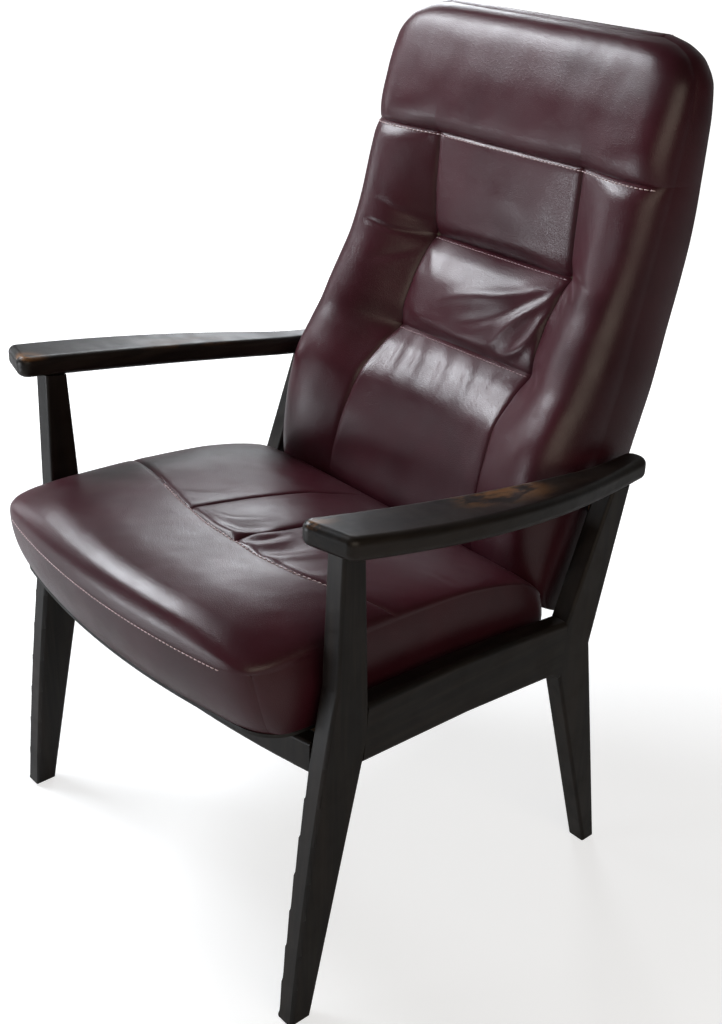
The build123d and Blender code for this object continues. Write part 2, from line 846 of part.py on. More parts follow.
def back_foot_rail():
    face = back_band(0, foot_rail_width, cover_depth, web_plane)
    rail = across(face, -member_inner, member_inner)
    return drilled_twice(rail, back_leaf_screws())


def back_web(index):
    """One rubber strap across the back's frame, from ledge to ledge."""
    step = (member_length - back_web_drop - back_web_first) / (back_web_count - 1)
    middle = back_web_first + step * index
    face = back_band(
        middle - web_width / 2, middle + web_width / 2, web_plane, web_plane + web_thickness
    )
    return across(face, -member_inner - web_ledge, member_inner + web_ledge)


def back_webbing():
    return Compound([back_web(index).solid() for index in range(back_web_count)])


def back_cushion():
    """Leather cover and padding: rows of rounded panels between side bolsters, over the frame."""
    cushion = back_row(loin_row_shares, 0, third_seam)
    cushion = cushion + back_row(waist_row_shares, third_seam, second_seam)
    cushion = cushion + back_row(shoulder_row_shares, second_seam, head_seam)
    cushion = cushion + back_row(head_row_shares, head_seam, back_length)
    hollow = across(
        back_band(-overrun, member_length, cover_depth - overrun, web_plane + web_thickness),
        -member_inner - web_ledge,
        member_inner + web_ledge,
    )
    cushion = cushion - hollow
    bore = rod((member_inner, pivot_y, pivot_z), (inner_half, pivot_y, pivot_z), bush_radius)
    for side in (side_member(), bore):
        cushion = cushion - side - mirrored(side)
    return cushion


def cover_plan():
    """Front view of the outside back panel."""
    half = back_half * head_row_shares[0][1] - cover_margin
    low = back_foot_z
    high = spine(back_length)[1] - cover_margin
    face = outline((-half, low), (half, low), (half, high), (-half, high))
    face = fillet(face.vertices().group_by(Axis.Y)[0], cover_foot_corner)
    return fillet(face.vertices().group_by(Axis.Y)[-1], cover_corner)


def back_cover():
    """The outside back: a leather-covered panel that closes the frame."""
    panel = across(back_band(0, back_length, 0, cover_depth - cover_gap), -back_half, back_half)
    front_view = Plane(origin=(0, back_foot_y + back_length, 0), x_dir=(1, 0, 0), z_dir=(0, -1, 0))
    panel = panel & extrude(front_view * cover_plan(), amount=back_length + member_length)
    return panel


# Seat hinges


def back_leaf():
    """A steel angle under the back's foot rail, which carries the hinge pin."""
    inner = hinge_x + leaf_gap
    reach = back_depth_of(hinge_y, hinge_z)
    drop = back_length_of(hinge_y, hinge_z)
    web = Pos(hinge_y, hinge_z) * Circle(leaf_radius)
    web = web + back_band(drop, 0, reach - leaf_radius, reach + leaf_radius)
    leaf = across(web, inner, inner + leaf_thickness)
    flange = across(back_band(-leaf_thickness, 0, cover_depth, web_plane), inner, inner + leaf_flange)
    leaf = leaf + flange
    leaf = leaf - rod((0, hinge_y, hinge_z), (inner_half, hinge_y, hinge_z), hinge_pin_radius)
    return drilled(leaf, back_leaf_screws())


def back_depth_of(y, z):
    """Depth of a point in front of the rear line, below its bend."""
    lean = radians(back_lean)
    return (back_foot_y - y) * cos(lean) + (z - back_foot_z) * sin(lean)


def back_length_of(y, z):
    """Length along the rear line of a point, below its bend."""
    lean = radians(back_lean)
    return (y - back_foot_y) * sin(lean) + (z - back_foot_z) * cos(lean)


def back_leaf_screws():
    lean = radians(back_lean)
    x = hinge_x + leaf_gap + leaf_screw_offset
    places = []
    for share in leaf_screw_shares:
        depth = cover_depth + (web_plane - cover_depth) * share
        y, z = back_point(-leaf_thickness, depth)
        places.append(((x, y, z), (0, sin(lean), cos(lean)), screw_length))
    return places


def seat_leaf():
    """A steel angle under the rear of the seat, cranked up behind it to the hinge pin."""
    front = seat_depth - leaf_reach
    slant = leaf_radius * sin(pi / 4)
    plate = outline(
        (front, 0),
        (seat_depth + leaf_thickness, 0),
        (hinge_place - slant, hinge_rise + slant),
        (hinge_place + slant, hinge_rise - slant),
        (seat_depth + leaf_radius, -leaf_hang),
        (front, -leaf_hang),
    )
    web = plate + Pos(hinge_place, hinge_rise) * Circle(leaf_radius)
    leaf = across(web, hinge_x - leaf_thickness, hinge_x)
    flange = outline((front, -leaf_thickness), (seat_depth, -leaf_thickness), (seat_depth, 0), (front, 0))
    leaf = leaf + across(flange, hinge_x - leaf_flange, hinge_x)
    bore_radius = hinge_pin_radius + running_gap
    bore = rod((0, hinge_place, hinge_rise), (inner_half, hinge_place, hinge_rise), bore_radius)
    return seat_place * drilled(leaf - bore, seat_leaf_screws())


def seat_leaf_screws():
    """Places in the seat's own plane, two to each leaf: through the board, and into the frame."""
    x = hinge_x - leaf_screw_offset
    to_board = seat_depth - leaf_reach * leaf_screw_shares[1]
    to_frame = seat_depth - seat_frame_margin - seat_frame_thickness / 2
    return [((x, place, -leaf_thickness), (0, 0, 1), screw_length) for place in (to_board, to_frame)]


def hinge_pin():
    """A headed pin, fast in the back's leaf."""
    tail = hinge_x - leaf_thickness - hinge_head
    outer = hinge_x + leaf_gap + leaf_thickness
    pin = rod((tail, hinge_y, hinge_z), (outer, hinge_y, hinge_z), hinge_pin_radius)
    head = rod((outer, hinge_y, hinge_z), (outer + hinge_head, hinge_y, hinge_z), hinge_head_radius)
    return pin + head


# Seat


def seat_plan(side_in, front_in, rear_in, front_y):
    """Top view of the seat: a bowed front, straight sides and rounded corners."""
    half = seat_half - side_in
    front = front_y + front_in
    rear = seat_depth - rear_in
    bow = seat_bow * (half / seat_half) ** 2
    left = (half, front + bow)
    right = (-half, front + bow)
    edges = [
        ThreePointArc(right, (0, front), left),
        Line(left, (half, rear)),
        Line((half, rear), (-half, rear)),
        Line((-half, rear), right),
    ]
    face = make_face(edges)
    face = fillet(face.vertices().group_by(Axis.Y)[0], seat_front_corner)
    return fillet(face.vertices().group_by(Axis.Y)[-1], seat_rear_corner)


def seat_layer(shares):
    """The part of the cushion between its first and last level, each falling to the rear."""
    levels = []
    for height, fall, rake, side, front, rear in shares:
        tilt = radians(seat_fall * fall)
        level = board_thickness + (seat_crown_height - board_thickness) * height
        origin = (0, seat_middle, level)
        plane = Plane(origin=origin, x_dir=(1, 0, 0), z_dir=(0, sin(tilt), cos(tilt)))
        plan = seat_plan(seat_half * side, seat_depth * front, seat_depth * rear, -seat_rake * rake)
        levels.append(plane * Pos(0, -seat_middle) * plan)
    return loft(levels)


def seat_grooves(plain):
    """The sewn lines across and along the top, sunk a little below the crown."""

    def curve(shift):
        place = cross_seam_place + shift
        ends = place + cross_seam_bow
        return ThreePointArc((-cross_seam_half, ends), (0, place), (cross_seam_half, ends))

    front = curve(0)
    rear = curve(groove_width)
    faces = [make_face([front, rear, Line(front @ 0, rear @ 0), Line(front @ 1, rear @ 1)])]
    half = groove_width / 2
    start = cross_seam_place + groove_width
    end = seat_depth - long_seam_end
    for way in (-1, 1):
        faces.append(
            outline(
                (way * long_seam_front_x - half, start),
                (way * long_seam_front_x + half, start),
                (way * long_seam_rear_x + half, end),
                (way * long_seam_rear_x - half, end),
            )
        )
    lowered = Pos(0, 0, -groove_depth) * plain
    return [upward(face, seat_crown_height / 2, seat_crown_height + overrun) - lowered for face in faces]


def seat_cushion():
    """Leather cover and padding, pulled down over the seat's frame."""
    plain = seat_layer(boxing_shares) + seat_layer(crown_shares)
    cushion = plain
    for groove in seat_grooves(plain):
        cushion = cushion - groove
    pocket = seat_plan(seat_frame_margin, seat_frame_margin, seat_frame_margin, 0)
    top = board_thickness + seat_frame_height + web_thickness
    return seat_place * (cushion - upward(pocket, 0, top))


def seat_ring():
    """The seat frame's outline as a flat ring."""
    outer = seat_plan(seat_frame_margin, seat_frame_margin, seat_frame_margin, 0)
    half = seat_half - seat_frame_margin - seat_frame_thickness
    front = seat_frame_margin + seat_frame_thickness
    rear = seat_depth - seat_frame_margin - seat_frame_thickness
    bow = seat_bow * (half / seat_half) ** 2
    inner = make_face(
        [
            ThreePointArc((-half, front + bow), (0, front), (half, front + bow)),
            Line((half, front + bow), (half, rear)),
            Line((half, rear), (-half, rear)),
            Line((-half, rear), (-half, front + bow)),
        ]
    )
    return outer, inner, (half, front + bow, rear)


def seat_frame():
    """Four members: a bowed front, two sides and a rear, split at the inner corners."""
    outer, inner, (half, front, rear) = seat_ring()
    ring = upward(outer, board_thickness, board_thickness + seat_frame_height)
    ring = ring - upward(inner, 0, seat_crown_height)
    wide = seat_half + overrun
    side_zone = outline((half, front), (wide, front), (wide, rear), (half, rear))
    side_box = upward(side_zone, 0, seat_crown_height)
    front_zone = outline((-wide, -overrun), (wide, -overrun), (wide, front), (-wide, front))
    front_box = upward(front_zone, 0, seat_crown_height)
    rear_zone = outline((-wide, rear), (wide, rear), (wide, seat_depth), (-wide, seat_depth))
    rear_box = upward(rear_zone, 0, seat_crown_height)
    side_member = drilled(ring & side_box, bracket_screws())
    rear_member = drilled_twice(ring & rear_box, seat_leaf_screws())
    return [seat_place * member for member in (side_member, ring & front_box, rear_member)]


def seat_board():
    board = upward(seat_plan(board_margin, board_margin, board_margin, 0), 0, board_thickness)
    return seat_place * drilled_twice(board, bracket_screws() + seat_leaf_screws())


def seat_webbing():
    """Rubber straps across the seat's frame."""
    step = (seat_depth - seat_web_rear - seat_web_front) / (seat_web_count - 1)
    low = board_thickness + seat_frame_height
    half = seat_half - seat_frame_margin - seat_web_end
    straps = []
    for index in range(seat_web_count):
        near = seat_web_front + step * index - web_width / 2
        face = outline((-half, near), (half, near), (half, near + web_width), (-half, near + web_width))
        straps.append((seat_place * upward(face, low, low + web_thickness)).solid())
    return Compound(straps)


# Seat slides


def bracket_screws():
    """Places in the seat's own plane, two to each bracket."""
    x = bracket_outer - bracket_flange / 2
    places = []
    for way in (-1, 1):
        head = (x, slide_place + way * bracket_screw_pitch / 2, -bracket_thickness)
        places.append((head, (0, 0, 1), screw_length))
    return places


def slide_bracket():
    """A steel angle that hangs from the seat's frame and holds the slide pin."""
    front = slide_place - bracket_width / 2
    rear = slide_place + bracket_width / 2
    web = outline(
        (front, 0),
        (rear, 0),
        (slide_place + bracket_radius, -slide_drop),
        (slide_place - bracket_radius, -slide_drop),
    )
    web = web + Pos(slide_place, -slide_drop) * Circle(bracket_radius)
    flange = outline((front, -bracket_thickness), (rear, -bracket_thickness), (rear, 0), (front, 0))
    bracket = across(web, bracket_outer - bracket_thickness, bracket_outer)
    bracket = bracket + across(flange, bracket_outer - bracket_flange, bracket_outer)
    bore = rod((0, slide_place, -slide_drop), (inner_half, slide_place, -slide_drop), slide_pin_radius)
    return seat_place * drilled(bracket - bore, bracket_screws())


def slide_pin():
    """A steel pin riveted in the bracket."""
    start = (bracket_outer - bracket_thickness, slide_y, slide_z)
    return rod(start, (inner_half - sleeve_end, slide_y, slide_z), slide_pin_radius)


def slide_sleeve():
    """A nylon sleeve on the pin, which slides in the guide's slot."""
    start = (bracket_outer, slide_y, slide_z)
    end = (inner_half - sleeve_end, slide_y, slide_z)
    return rod(start, end, sleeve_radius) - rod(start, end, slide_pin_radius)


def guide_arc(before, after):
    """The path of the slide pin, run on by an angle at each end."""
    sweep = recline_angle + before + after
    return CenterArc(slide_centre, slide_radius, slide_start + before, -sweep)


def guide_face():
    spare = slot_spare_angle
    tail = spare + guide_tail_angle
    body = SlotArc(guide_arc(tail, tail), 2 * (sleeve_radius + slot_gap + guide_wall))
    return body - SlotArc(guide_arc(spare, spare), 2 * (sleeve_radius + slot_gap))


def guide_screws():
    """One screw at each end of a guide, into the side rail."""
    spare = slot_spare_angle + guide_screw_angle
    path = guide_arc(spare + guide_screw_angle, spare + guide_screw_angle)
    face = inner_half - guide_thickness
    ends = (path @ 0, path @ 1)
    return [((face, end.X, end.Y), (1, 0, 0), screw_length) for end in ends]


def slide_guide():
    """A nylon guide with a curved slot, on the side rail's inner face."""
    guide = across(guide_face(), inner_half - guide_thickness, inner_half)
    return drilled(guide, guide_screws())


# The chair

os.makedirs("parts", exist_ok=True)

save_pair(armrest(), "armrest")
save_pair(front_leg(), "front_leg")
save_pair(rear_leg(), "rear_leg")
save_pair(side_rail(), "side_rail")
save(front_rail(), "front_rail")
save(rear_rail(), "rear_rail")
save_pair(corner_block(), "corner_block")
bores = arm_dowel_bores() + rail_dowel_bores() + cross_dowel_bores()
save(group([dowel(start, end) for start, end in bores]), "frame_dowels")
save(group([glide_at(front_foot_y), glide_at(rear_foot_y)]), "foot_glides")
save_pair(pivot_plate(), "pivot_plate")
save_pair(friction_washer(), "friction_washer")
save_pair(slide_guide(), "slide_guide")
save(group(screws(plate_screws() + guide_screws() + block_screws())), "frame_screws")

save_pair(side_member(), "back_side_member")
save(back_head_rail(), "back_head_rail")
save(back_foot_rail(), "back_foot_rail")
save(back_webbing(), "back_webbing")
save(back_cushion(), "back_cushion")
save(back_cover(), "back_cover")
save_pair(pivot_bush(), "pivot_bush")
save_pair(back_leaf(), "back_hinge_leaf")
save(group([hinge_pin()]), "hinge_pins")
save(group(screws(back_leaf_screws())), "back_screws")

side, front, rear = seat_frame()
save_pair(side, "seat_side_member")
save(front, "seat_front_member")
save(rear, "seat_rear_member")
save(seat_board(), "seat_base_board")
save(seat_webbing(), "seat_webbing")
save(seat_cushion(), "seat_cushion")
save_pair(seat_leaf(), "seat_hinge_leaf")
save_pair(slide_bracket(), "slide_bracket")
save(group([slide_pin()]), "slide_pins")
save(group([slide_sleeve()]), "slide_sleeves")
seat_screws = [seat_place * item for item in screws(bracket_screws() + seat_leaf_screws())]
save(group(seat_screws), "seat_screws")
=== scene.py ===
import json
from math import cos, pi, radians, sin

import bpy
import numpy as np
from mathutils import Matrix, Vector
from mathutils.bvhtree import BVHTree


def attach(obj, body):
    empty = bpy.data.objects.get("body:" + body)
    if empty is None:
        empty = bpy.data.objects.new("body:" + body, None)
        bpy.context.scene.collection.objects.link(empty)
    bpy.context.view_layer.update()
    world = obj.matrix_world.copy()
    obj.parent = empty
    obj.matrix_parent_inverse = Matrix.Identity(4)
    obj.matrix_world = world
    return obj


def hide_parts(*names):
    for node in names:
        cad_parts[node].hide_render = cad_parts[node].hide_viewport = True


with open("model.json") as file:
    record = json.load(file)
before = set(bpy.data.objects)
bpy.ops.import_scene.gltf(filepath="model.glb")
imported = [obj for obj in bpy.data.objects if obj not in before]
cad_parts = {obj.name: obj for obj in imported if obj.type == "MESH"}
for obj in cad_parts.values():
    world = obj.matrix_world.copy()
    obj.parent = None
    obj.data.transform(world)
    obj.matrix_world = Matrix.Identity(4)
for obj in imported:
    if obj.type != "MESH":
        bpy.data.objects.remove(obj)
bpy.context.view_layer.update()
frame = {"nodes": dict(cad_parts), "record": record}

# Metres, in the chair's own frame: +Z up, the sitter faces -Y, so the sitter's left is +X.

# The back's rear line, and its upholstery's depths in front of it
back_foot_y = 0.1788
back_foot_z = 0.350
back_lean = radians(22.3)
head_lean = radians(3.5)
back_straight = 0.270
back_bend_radius = 0.731
back_length = 0.648
back_half = 0.246
lumbar_depth = 0.127
boxing_depth = 0.060
boxing_draw = 0.003
bolster_width = 0.045
bolster_power = 2.3
bolster_rise_power = 1.15
rear_rim_depth = 0.0015
back_edge_fade = 0.02
foot_overhang = 0.016
foot_overhang_reach = 6 * foot_overhang

# Lengths up the back of its three cross seams
third_seam = 0.233
second_seam = 0.361
head_seam = 0.500

# Stations up each panel of the back: share of the way, then shares of the half width, the boxing
# depth, the depth at the bolster's crest, the place and depth of the upright seam, and the middle's
# depth. A panel starts as the one below it ends.
loin_row_shares = (
    (0.00, 0.965, 0.70, 0.500, 0.560, 0.440, 0.430),
    (0.04, 0.972, 0.90, 0.640, 0.560, 0.520, 0.505),
    (0.12, 0.982, 1.00, 0.780, 0.545, 0.680, 0.630),
    (0.25, 0.990, 1.00, 0.900, 0.530, 0.780, 0.690),
    (0.48, 0.998, 1.00, 1.010, 0.505, 0.850, 0.735),
    (0.66, 1.000, 1.00, 1.045, 0.487, 0.840, 0.750),
    (0.88, 0.992, 1.00, 0.975, 0.475, 0.660, 0.630),
    (1.00, 0.988, 1.00, 0.925, 0.470, 0.530, 0.505),
)
waist_row_shares = (
    (0.00, *loin_row_shares[-1][1:]),
    (0.20, 0.984, 1.00, 0.905, 0.475, 0.560, 0.600),
    (0.50, 0.972, 1.00, 0.875, 0.480, 0.545, 0.620),
    (0.80, 0.962, 1.00, 0.830, 0.485, 0.470, 0.530),
    (1.00, 0.960, 1.00, 0.808, 0.488, 0.400, 0.375),
)
shoulder_row_shares = (
    (0.00, *waist_row_shares[-1][1:]),
    (0.20, 0.960, 1.00, 0.785, 0.490, 0.455, 0.500),
    (0.55, 0.962, 0.96, 0.755, 0.493, 0.515, 0.560),
    (0.85, 0.960, 0.88, 0.715, 0.496, 0.540, 0.565),
    (1.00, 0.958, 0.82, 0.645, 0.497, 0.555, 0.562),
)
head_row_shares = (
    (0.00, *shoulder_row_shares[-1][1:]),
    (0.14, 0.958, 0.76, 0.665, 0.500, 0.610, 0.600),
    (0.42, 0.957, 0.66, 0.600, 0.500, 0.580, 0.572),
    (0.70, 0.940, 0.56, 0.510, 0.500, 0.500, 0.492),
    (0.87, 0.880, 0.48, 0.435, 0.500, 0.425, 0.420),
    (0.96, 0.790, 0.41, 0.345, 0.500, 0.340, 0.335),
    (0.99, 0.715, 0.36, 0.270, 0.500, 0.268, 0.266),
    (1.00, 0.680, 0.32, 0.200, 0.500, 0.200, 0.200),
)

# What a station's shares measure, in their order, and the size that each is a share of
station_sizes = {
    "half": back_half,
    "boxing": boxing_depth,
    "crest": lumbar_depth,
    "seam": back_half,
    "seam_depth": lumbar_depth,
    "middle": lumbar_depth,
}

# The back's four panels from foot to head: where each starts and ends, its stations, its grid rows
back_panels = (
    (0.0, third_seam, loin_row_shares, 56),
    (third_seam, second_seam, waist_row_shares, 40),
    (second_seam, head_seam, shoulder_row_shares, 42),
    (head_seam, back_length, head_row_shares, 54),
)
back_inner_columns = 54
back_outer_columns = 46
back_wall_rows = 10

# The back's sewing. The lower cross seams come with their groove's depth and their tufts' depth.
panel_seams = ((third_seam, 0.0035, 0.003), (second_seam, 0.005, 0.006))
panel_groove_width = 0.0035
tuft_width = 0.010
head_groove = 0.004
head_groove_width = 0.003
head_groove_faint_share = 0.4
head_fade_start_share = 0.80
head_fade_share = 0.15
upright_groove = 0.0032
upright_groove_width = 0.003
upright_start = 0.02
upright_fade = 0.10
upright_end_softness = 0.0015
seam_softness = 0.002

# Folds of the back: points as shares across and down a panel, then width and height. A fold of
# negative height is a crease.
fold_panel_half = 0.117
loin_fold_reach = 0.137
waist_folds = (
    (((0.97, 0.10), (0.78, 0.28), (0.54, 0.45), (0.30, 0.60)), 0.0080, 0.0036),
    (((0.96, 0.22), (0.88, 0.42), (0.80, 0.62), (0.72, 0.86)), 0.0060, 0.0036),
    (((0.97, 0.45), (0.93, 0.72), (0.84, 0.90), (0.72, 0.96)), 0.0055, 0.0034),
    (((0.14, 0.86), (0.36, 0.90), (0.58, 0.92), (0.74, 0.88)), 0.0075, 0.0030),
    (((0.90, 0.30), (0.80, 0.44), (0.62, 0.66), (0.44, 0.80)), 0.0090, -0.0030),
    (((0.03, 0.08), (0.10, 0.22), (0.16, 0.40)), 0.0090, 0.0022),
    (((0.05, -0.10), (0.35, -0.13), (0.65, -0.13), (0.95, -0.08)), 0.0090, 0.0030),
    (((1.04, 0.02), (1.14, 0.10), (1.22, 0.24)), 0.0045, -0.0028),
    (((1.03, 0.16), (1.08, 0.30), (1.13, 0.44)), 0.0050, -0.0022),
    (((1.04, -0.08), (1.16, -0.06), (1.28, 0.00)), 0.0045, -0.0020),
    (((-0.04, 0.04), (-0.16, 0.06), (-0.30, 0.02)), 0.0045, -0.0024),
    (((-0.04, -0.12), (-0.16, -0.16), (-0.26, -0.22)), 0.0050, -0.0020),
    (((-0.03, 0.20), (-0.12, 0.32), (-0.20, 0.44)), 0.0055, -0.0016),
    (((1.03, 0.92), (1.10, 0.98), (1.18, 1.10)), 0.0050, -0.0016),
)
loin_folds = (
    (((0.12, 0.03), (0.15, 0.20), (0.18, 0.46)), 0.0055, 0.0022),
    (((0.24, 0.04), (0.29, 0.22), (0.33, 0.46)), 0.0055, 0.0022),
    (((0.40, 0.04), (0.48, 0.22), (0.51, 0.55)), 0.0065, 0.0024),
    (((0.60, 0.05), (0.66, 0.20), (0.70, 0.42)), 0.0060, 0.0020),
    (((0.78, 0.05), (0.80, 0.20), (0.82, 0.36)), 0.0060, 0.0014),
)

# Uneven swells of the leather: length, height and seed
back_swells = ((0.09, 0.0008, 3), (0.030, 0.00022, 4))
seat_swells = ((0.12, 0.0010, 8), (0.035, 0.00022, 9))
cover_swells = ((0.16, 0.0007, 12),)
waves_in_a_swell = 7

# The outside back
cover_margin = 0.005
cover_foot = 0.0005
cover_thickness = 0.003
cover_corner = 0.075
cover_corner_power = 6
cover_swell = 0.004
cover_rim_swell = 0.0005
cover_roll = 0.030
cover_rows = 90
cover_columns = 70
cover_wall_rows = 1

# The seat's own plane falls to the rear. Places along it run rearwards, and heights stand on its base.
seat_front_y = -0.3227
seat_base_z = 0.361
seat_slope = radians(5.2)
seat_board = 0.004
seat_half = 0.247
seat_front = -0.027
seat_rear = 0.4375
seat_front_height = 0.079
seat_rear_height = 0.056
seat_front_corner = 0.038
seat_rear_corner = 0.018
seat_corner_power = 4
seat_rake = 0.030
seat_swell = 0.005
seat_edge_fade = 0.03
side_roll = 0.120
side_roll_power = 1.35
seam_tuck = 0.003
cross_seam = 0.131
cross_groove = 0.0026
cross_groove_width = 0.0030
long_seam_fade_start = 0.320
long_seam_fade = 0.09
long_groove = 0.0030
long_groove_width = 0.0028
panel_puff = 0.0022
sewing_fade_gain = 3
seat_front_rows = 60
seat_rear_rows = 76
seat_inner_columns = 30
seat_outer_columns = 52
seat_wall_rows = 16

# Along the seat: the middle's height, and the side seam's height
seat_crown = (
    (seat_front, seat_front_height), (-0.024, 0.092), (-0.012, 0.109), (0.010, 0.118), (0.050, 0.1225),
    (0.107, 0.1235), (0.170, 0.120), (0.244, 0.1145), (0.301, 0.1085), (0.343, 0.101), (0.381, 0.0925),
    (0.405, 0.083), (0.425, 0.070), (seat_rear, seat_rear_height),
)
seat_side_seam = (
    (seat_front, seat_front_height), (0.010, 0.082), (0.050, 0.086), (0.150, 0.093), (0.250, 0.095),
    (0.318, 0.091), (0.380, 0.082), (0.413, 0.070), (seat_rear, seat_rear_height),
)

# Along the seat: how far a row has moved rearwards at bow_half from its middle, and half the
# distance between the long seams
bow_half = 0.250
front_bow = 0.033
seat_bow = ((seat_front, front_bow), (cross_seam, 0.045), (0.300, 0.022), (seat_rear, 0.0))
long_seams = ((seat_front, 0.050), (cross_seam, 0.048), (0.300, 0.044), (0.355, 0.033), (seat_rear, 0.026))

# The cross seam isn't even: its bend across the seat, and how far along the seat that bend is felt
cross_bend = (
    (-seat_half, 0.056), (-0.119, 0.024), (-0.050, 0.009), (0.020, 0.001), (0.084, 0.001), (0.138, 0.008),
    (0.176, 0.023), (0.208, 0.042), (seat_half, 0.066),
)
cross_bend_shares = (
    (seat_front, 0.0), (0.060, 0.60), (cross_seam, 1.0), (0.220, 0.50), (0.340, 0.08), (seat_rear, 0.0),
)

# Folds of the seat: points across and along it, then width and height
seat_fold_paths = (
    (((-0.022, 0.146), (-0.004, 0.152), (0.010, 0.168), (0.018, 0.198)), 0.0075, 0.0024),
    (((0.018, 0.136), (0.036, 0.140), (0.050, 0.160), (0.058, 0.192)), 0.0080, 0.0030),
    (((0.062, 0.134), (0.072, 0.142), (0.076, 0.160), (0.074, 0.190)), 0.0070, 0.0030),
    (((0.106, 0.134), (0.110, 0.145), (0.117, 0.166), (0.121, 0.196)), 0.0075, 0.0026),
    (((0.012, 0.142), (0.030, 0.158), (0.038, 0.184)), 0.0060, -0.0016),
    (((0.060, 0.138), (0.065, 0.160), (0.067, 0.186)), 0.0050, -0.0018),
    (((0.090, 0.138), (0.095, 0.160), (0.098, 0.190)), 0.0070, -0.0016),
    (((-0.090, 0.142), (-0.078, 0.156), (-0.066, 0.182)), 0.0080, 0.0012),
    (((0.160, 0.136), (0.164, 0.150), (0.166, 0.170)), 0.0070, 0.0012),
    (((0.198, 0.262), (0.220, 0.261), (0.238, 0.262)), 0.0024, -0.0020),
)
fold_steps = 24
fold_end_share = 0.08
fold_fade_power = 0.7

# How far the middle of a rounded corner draws in, as a share of its radius
corner_draw_share = 1 - 1 / 2**0.5

# Sewing thread. A stitch's points are shares of the way to the next stitch, with heights over the
# leather. An overcast stitch's are its slant sideways, its depth and its rise over the back's top.
thread_sides = 6
thread_end_share = 0.55
thread_askew = (0.30, 0.50, 0.81)
stitch_points = ((0.0, -0.0003), (0.2, 0.00035), (0.4, 0.0006), (0.6, 0.00035), (0.78, -0.0003))
overcast_points = (
    (-0.0010, 0.0060, -0.0002),
    (-0.0004, 0.0035, 0.0009),
    (0.0002, 0.0005, 0.0014),
    (0.0008, -0.0012, -0.0022),
)
overcast_reach_share = 0.98
stitch_reach = 0.30
stitch_pitch = 0.0055
wide_stitch_pitch = 0.0060
fine_thread = 0.0006
seam_thread = 0.0007
cross_thread = 0.0008
overcast_thread = 0.0009

# Rows of stitches: how far each lies from its seam, and half its length
stitch_row_gap = 0.0045
head_row_half = 0.226
panel_row_half = 0.112
boxing_row_drop = 0.0035
boxing_row_half = 0.205

# Camera, solved from the chair's straight edges in the photograph
photo_width = 722
photo_height = 1024
camera_place = (1.1575, -0.98417, 1.20768)
camera_azimuth = radians(48.3216)
camera_elevation = radians(27.2254)
camera_roll = radians(1.3804)
camera_focal_px = 1412.93
camera_centre_px = (361.25, 513.26)
camera_sensor_mm = 36.0
camera_far = 50.0

# Floor, backdrop and light
floor_half = 9
backdrop_height = 5
backdrop_left = (-7, -2)
backdrop_right = (3, 7)
floor_glow = 0.68
backdrop_glow = 1.0
glow_start = 0.4
glow_end = 1.5
reflected_glow = 0.12
world_light = 0.035
daylight = (0.91, 0.95, 1.0)
lamplight = (1.0, 0.86, 0.70)
white = (1, 1, 1, 1)
stage_grey = (0.50, 0.50, 0.50, 1)


# Curves and soft steps


def slopes(xs, ys):
    """Slopes of a smooth curve that doesn't overshoot its points."""
    step = np.diff(xs)
    rise = np.diff(ys) / step
    inner = np.where(rise[:-1] * rise[1:] > 0, 2 * rise[:-1] * rise[1:] / (rise[:-1] + rise[1:] + 1e-12), 0)
    return np.concatenate([[rise[0]], inner, [rise[-1]]])


def smooth(points, x):
    """Value at x of the smooth curve through (x, value) points."""
    xs, ys = (np.array(column, float) for column in zip(*points))
    slope = slopes(xs, ys)
    x = np.clip(x, xs[0], xs[-1])
    i = np.clip(np.searchsorted(xs, x, side="right") - 1, 0, len(xs) - 2)
    h = xs[i + 1] - xs[i]
    t = (x - xs[i]) / h
    a = (1 + 2 * t) * (1 - t) ** 2 * ys[i] + t * (1 - t) ** 2 * h * slope[i]
    b = t * t * (3 - 2 * t) * ys[i + 1] + t * t * (t - 1) * h * slope[i + 1]
    return a + b


def spaced(count):
    """Shares from 0 to 1, closer together at both ends."""
    return (1 - np.cos(np.linspace(0, pi, count + 1))) / 2


def ramp(value, start, reach):
    """0 up to a start, then evenly up to 1 over a reach."""
    return np.clip((value - start) / reach, 0, 1)


def under(value, edge, softness):
    """1 where a value is under an edge and 0 where it is over, with a soft change between."""
    return 1 / (1 + np.exp((value - edge) / softness))


def unit(vectors):
    return vectors / np.maximum(np.linalg.norm(vectors, axis=-1, keepdims=True), 1e-9)


def path_lengths(path):
    """Length from a path's first point to each of its points."""
    steps = np.linalg.norm(np.diff(np.array(path, float), axis=0), axis=1)
    return np.concatenate([[0], np.cumsum(steps)])


def along_path(path, count):
    """Evenly spaced points on the smooth curve through a path's points, as two rows of numbers."""
    lengths = path_lengths(path)
    at = np.linspace(0, lengths[-1], count)
    return [smooth(list(zip(lengths, column)), at) for column in zip(*path)]


# Meshes


def new_object(name, vertices, faces, materials, smooth_shading=True):
    mesh = bpy.data.meshes.new(name)
    mesh.from_pydata([tuple(v) for v in np.asarray(vertices, float)], [], faces)
    mesh.validate()
    mesh.polygons.foreach_set("use_smooth", [smooth_shading] * len(mesh.polygons))
    for material in materials:
        mesh.materials.append(material)
    obj = bpy.data.objects.new(name, mesh)
    bpy.context.scene.collection.objects.link(obj)
    return obj


def grid_faces(rows, columns, start, flip):
    faces = []
    for i in range(rows - 1):
        for j in range(columns - 1):
            a = start + i * columns + j
            quad = (a, a + 1, a + columns + 1, a + columns)
            faces.append(quad[::-1] if flip else quad)
    return faces


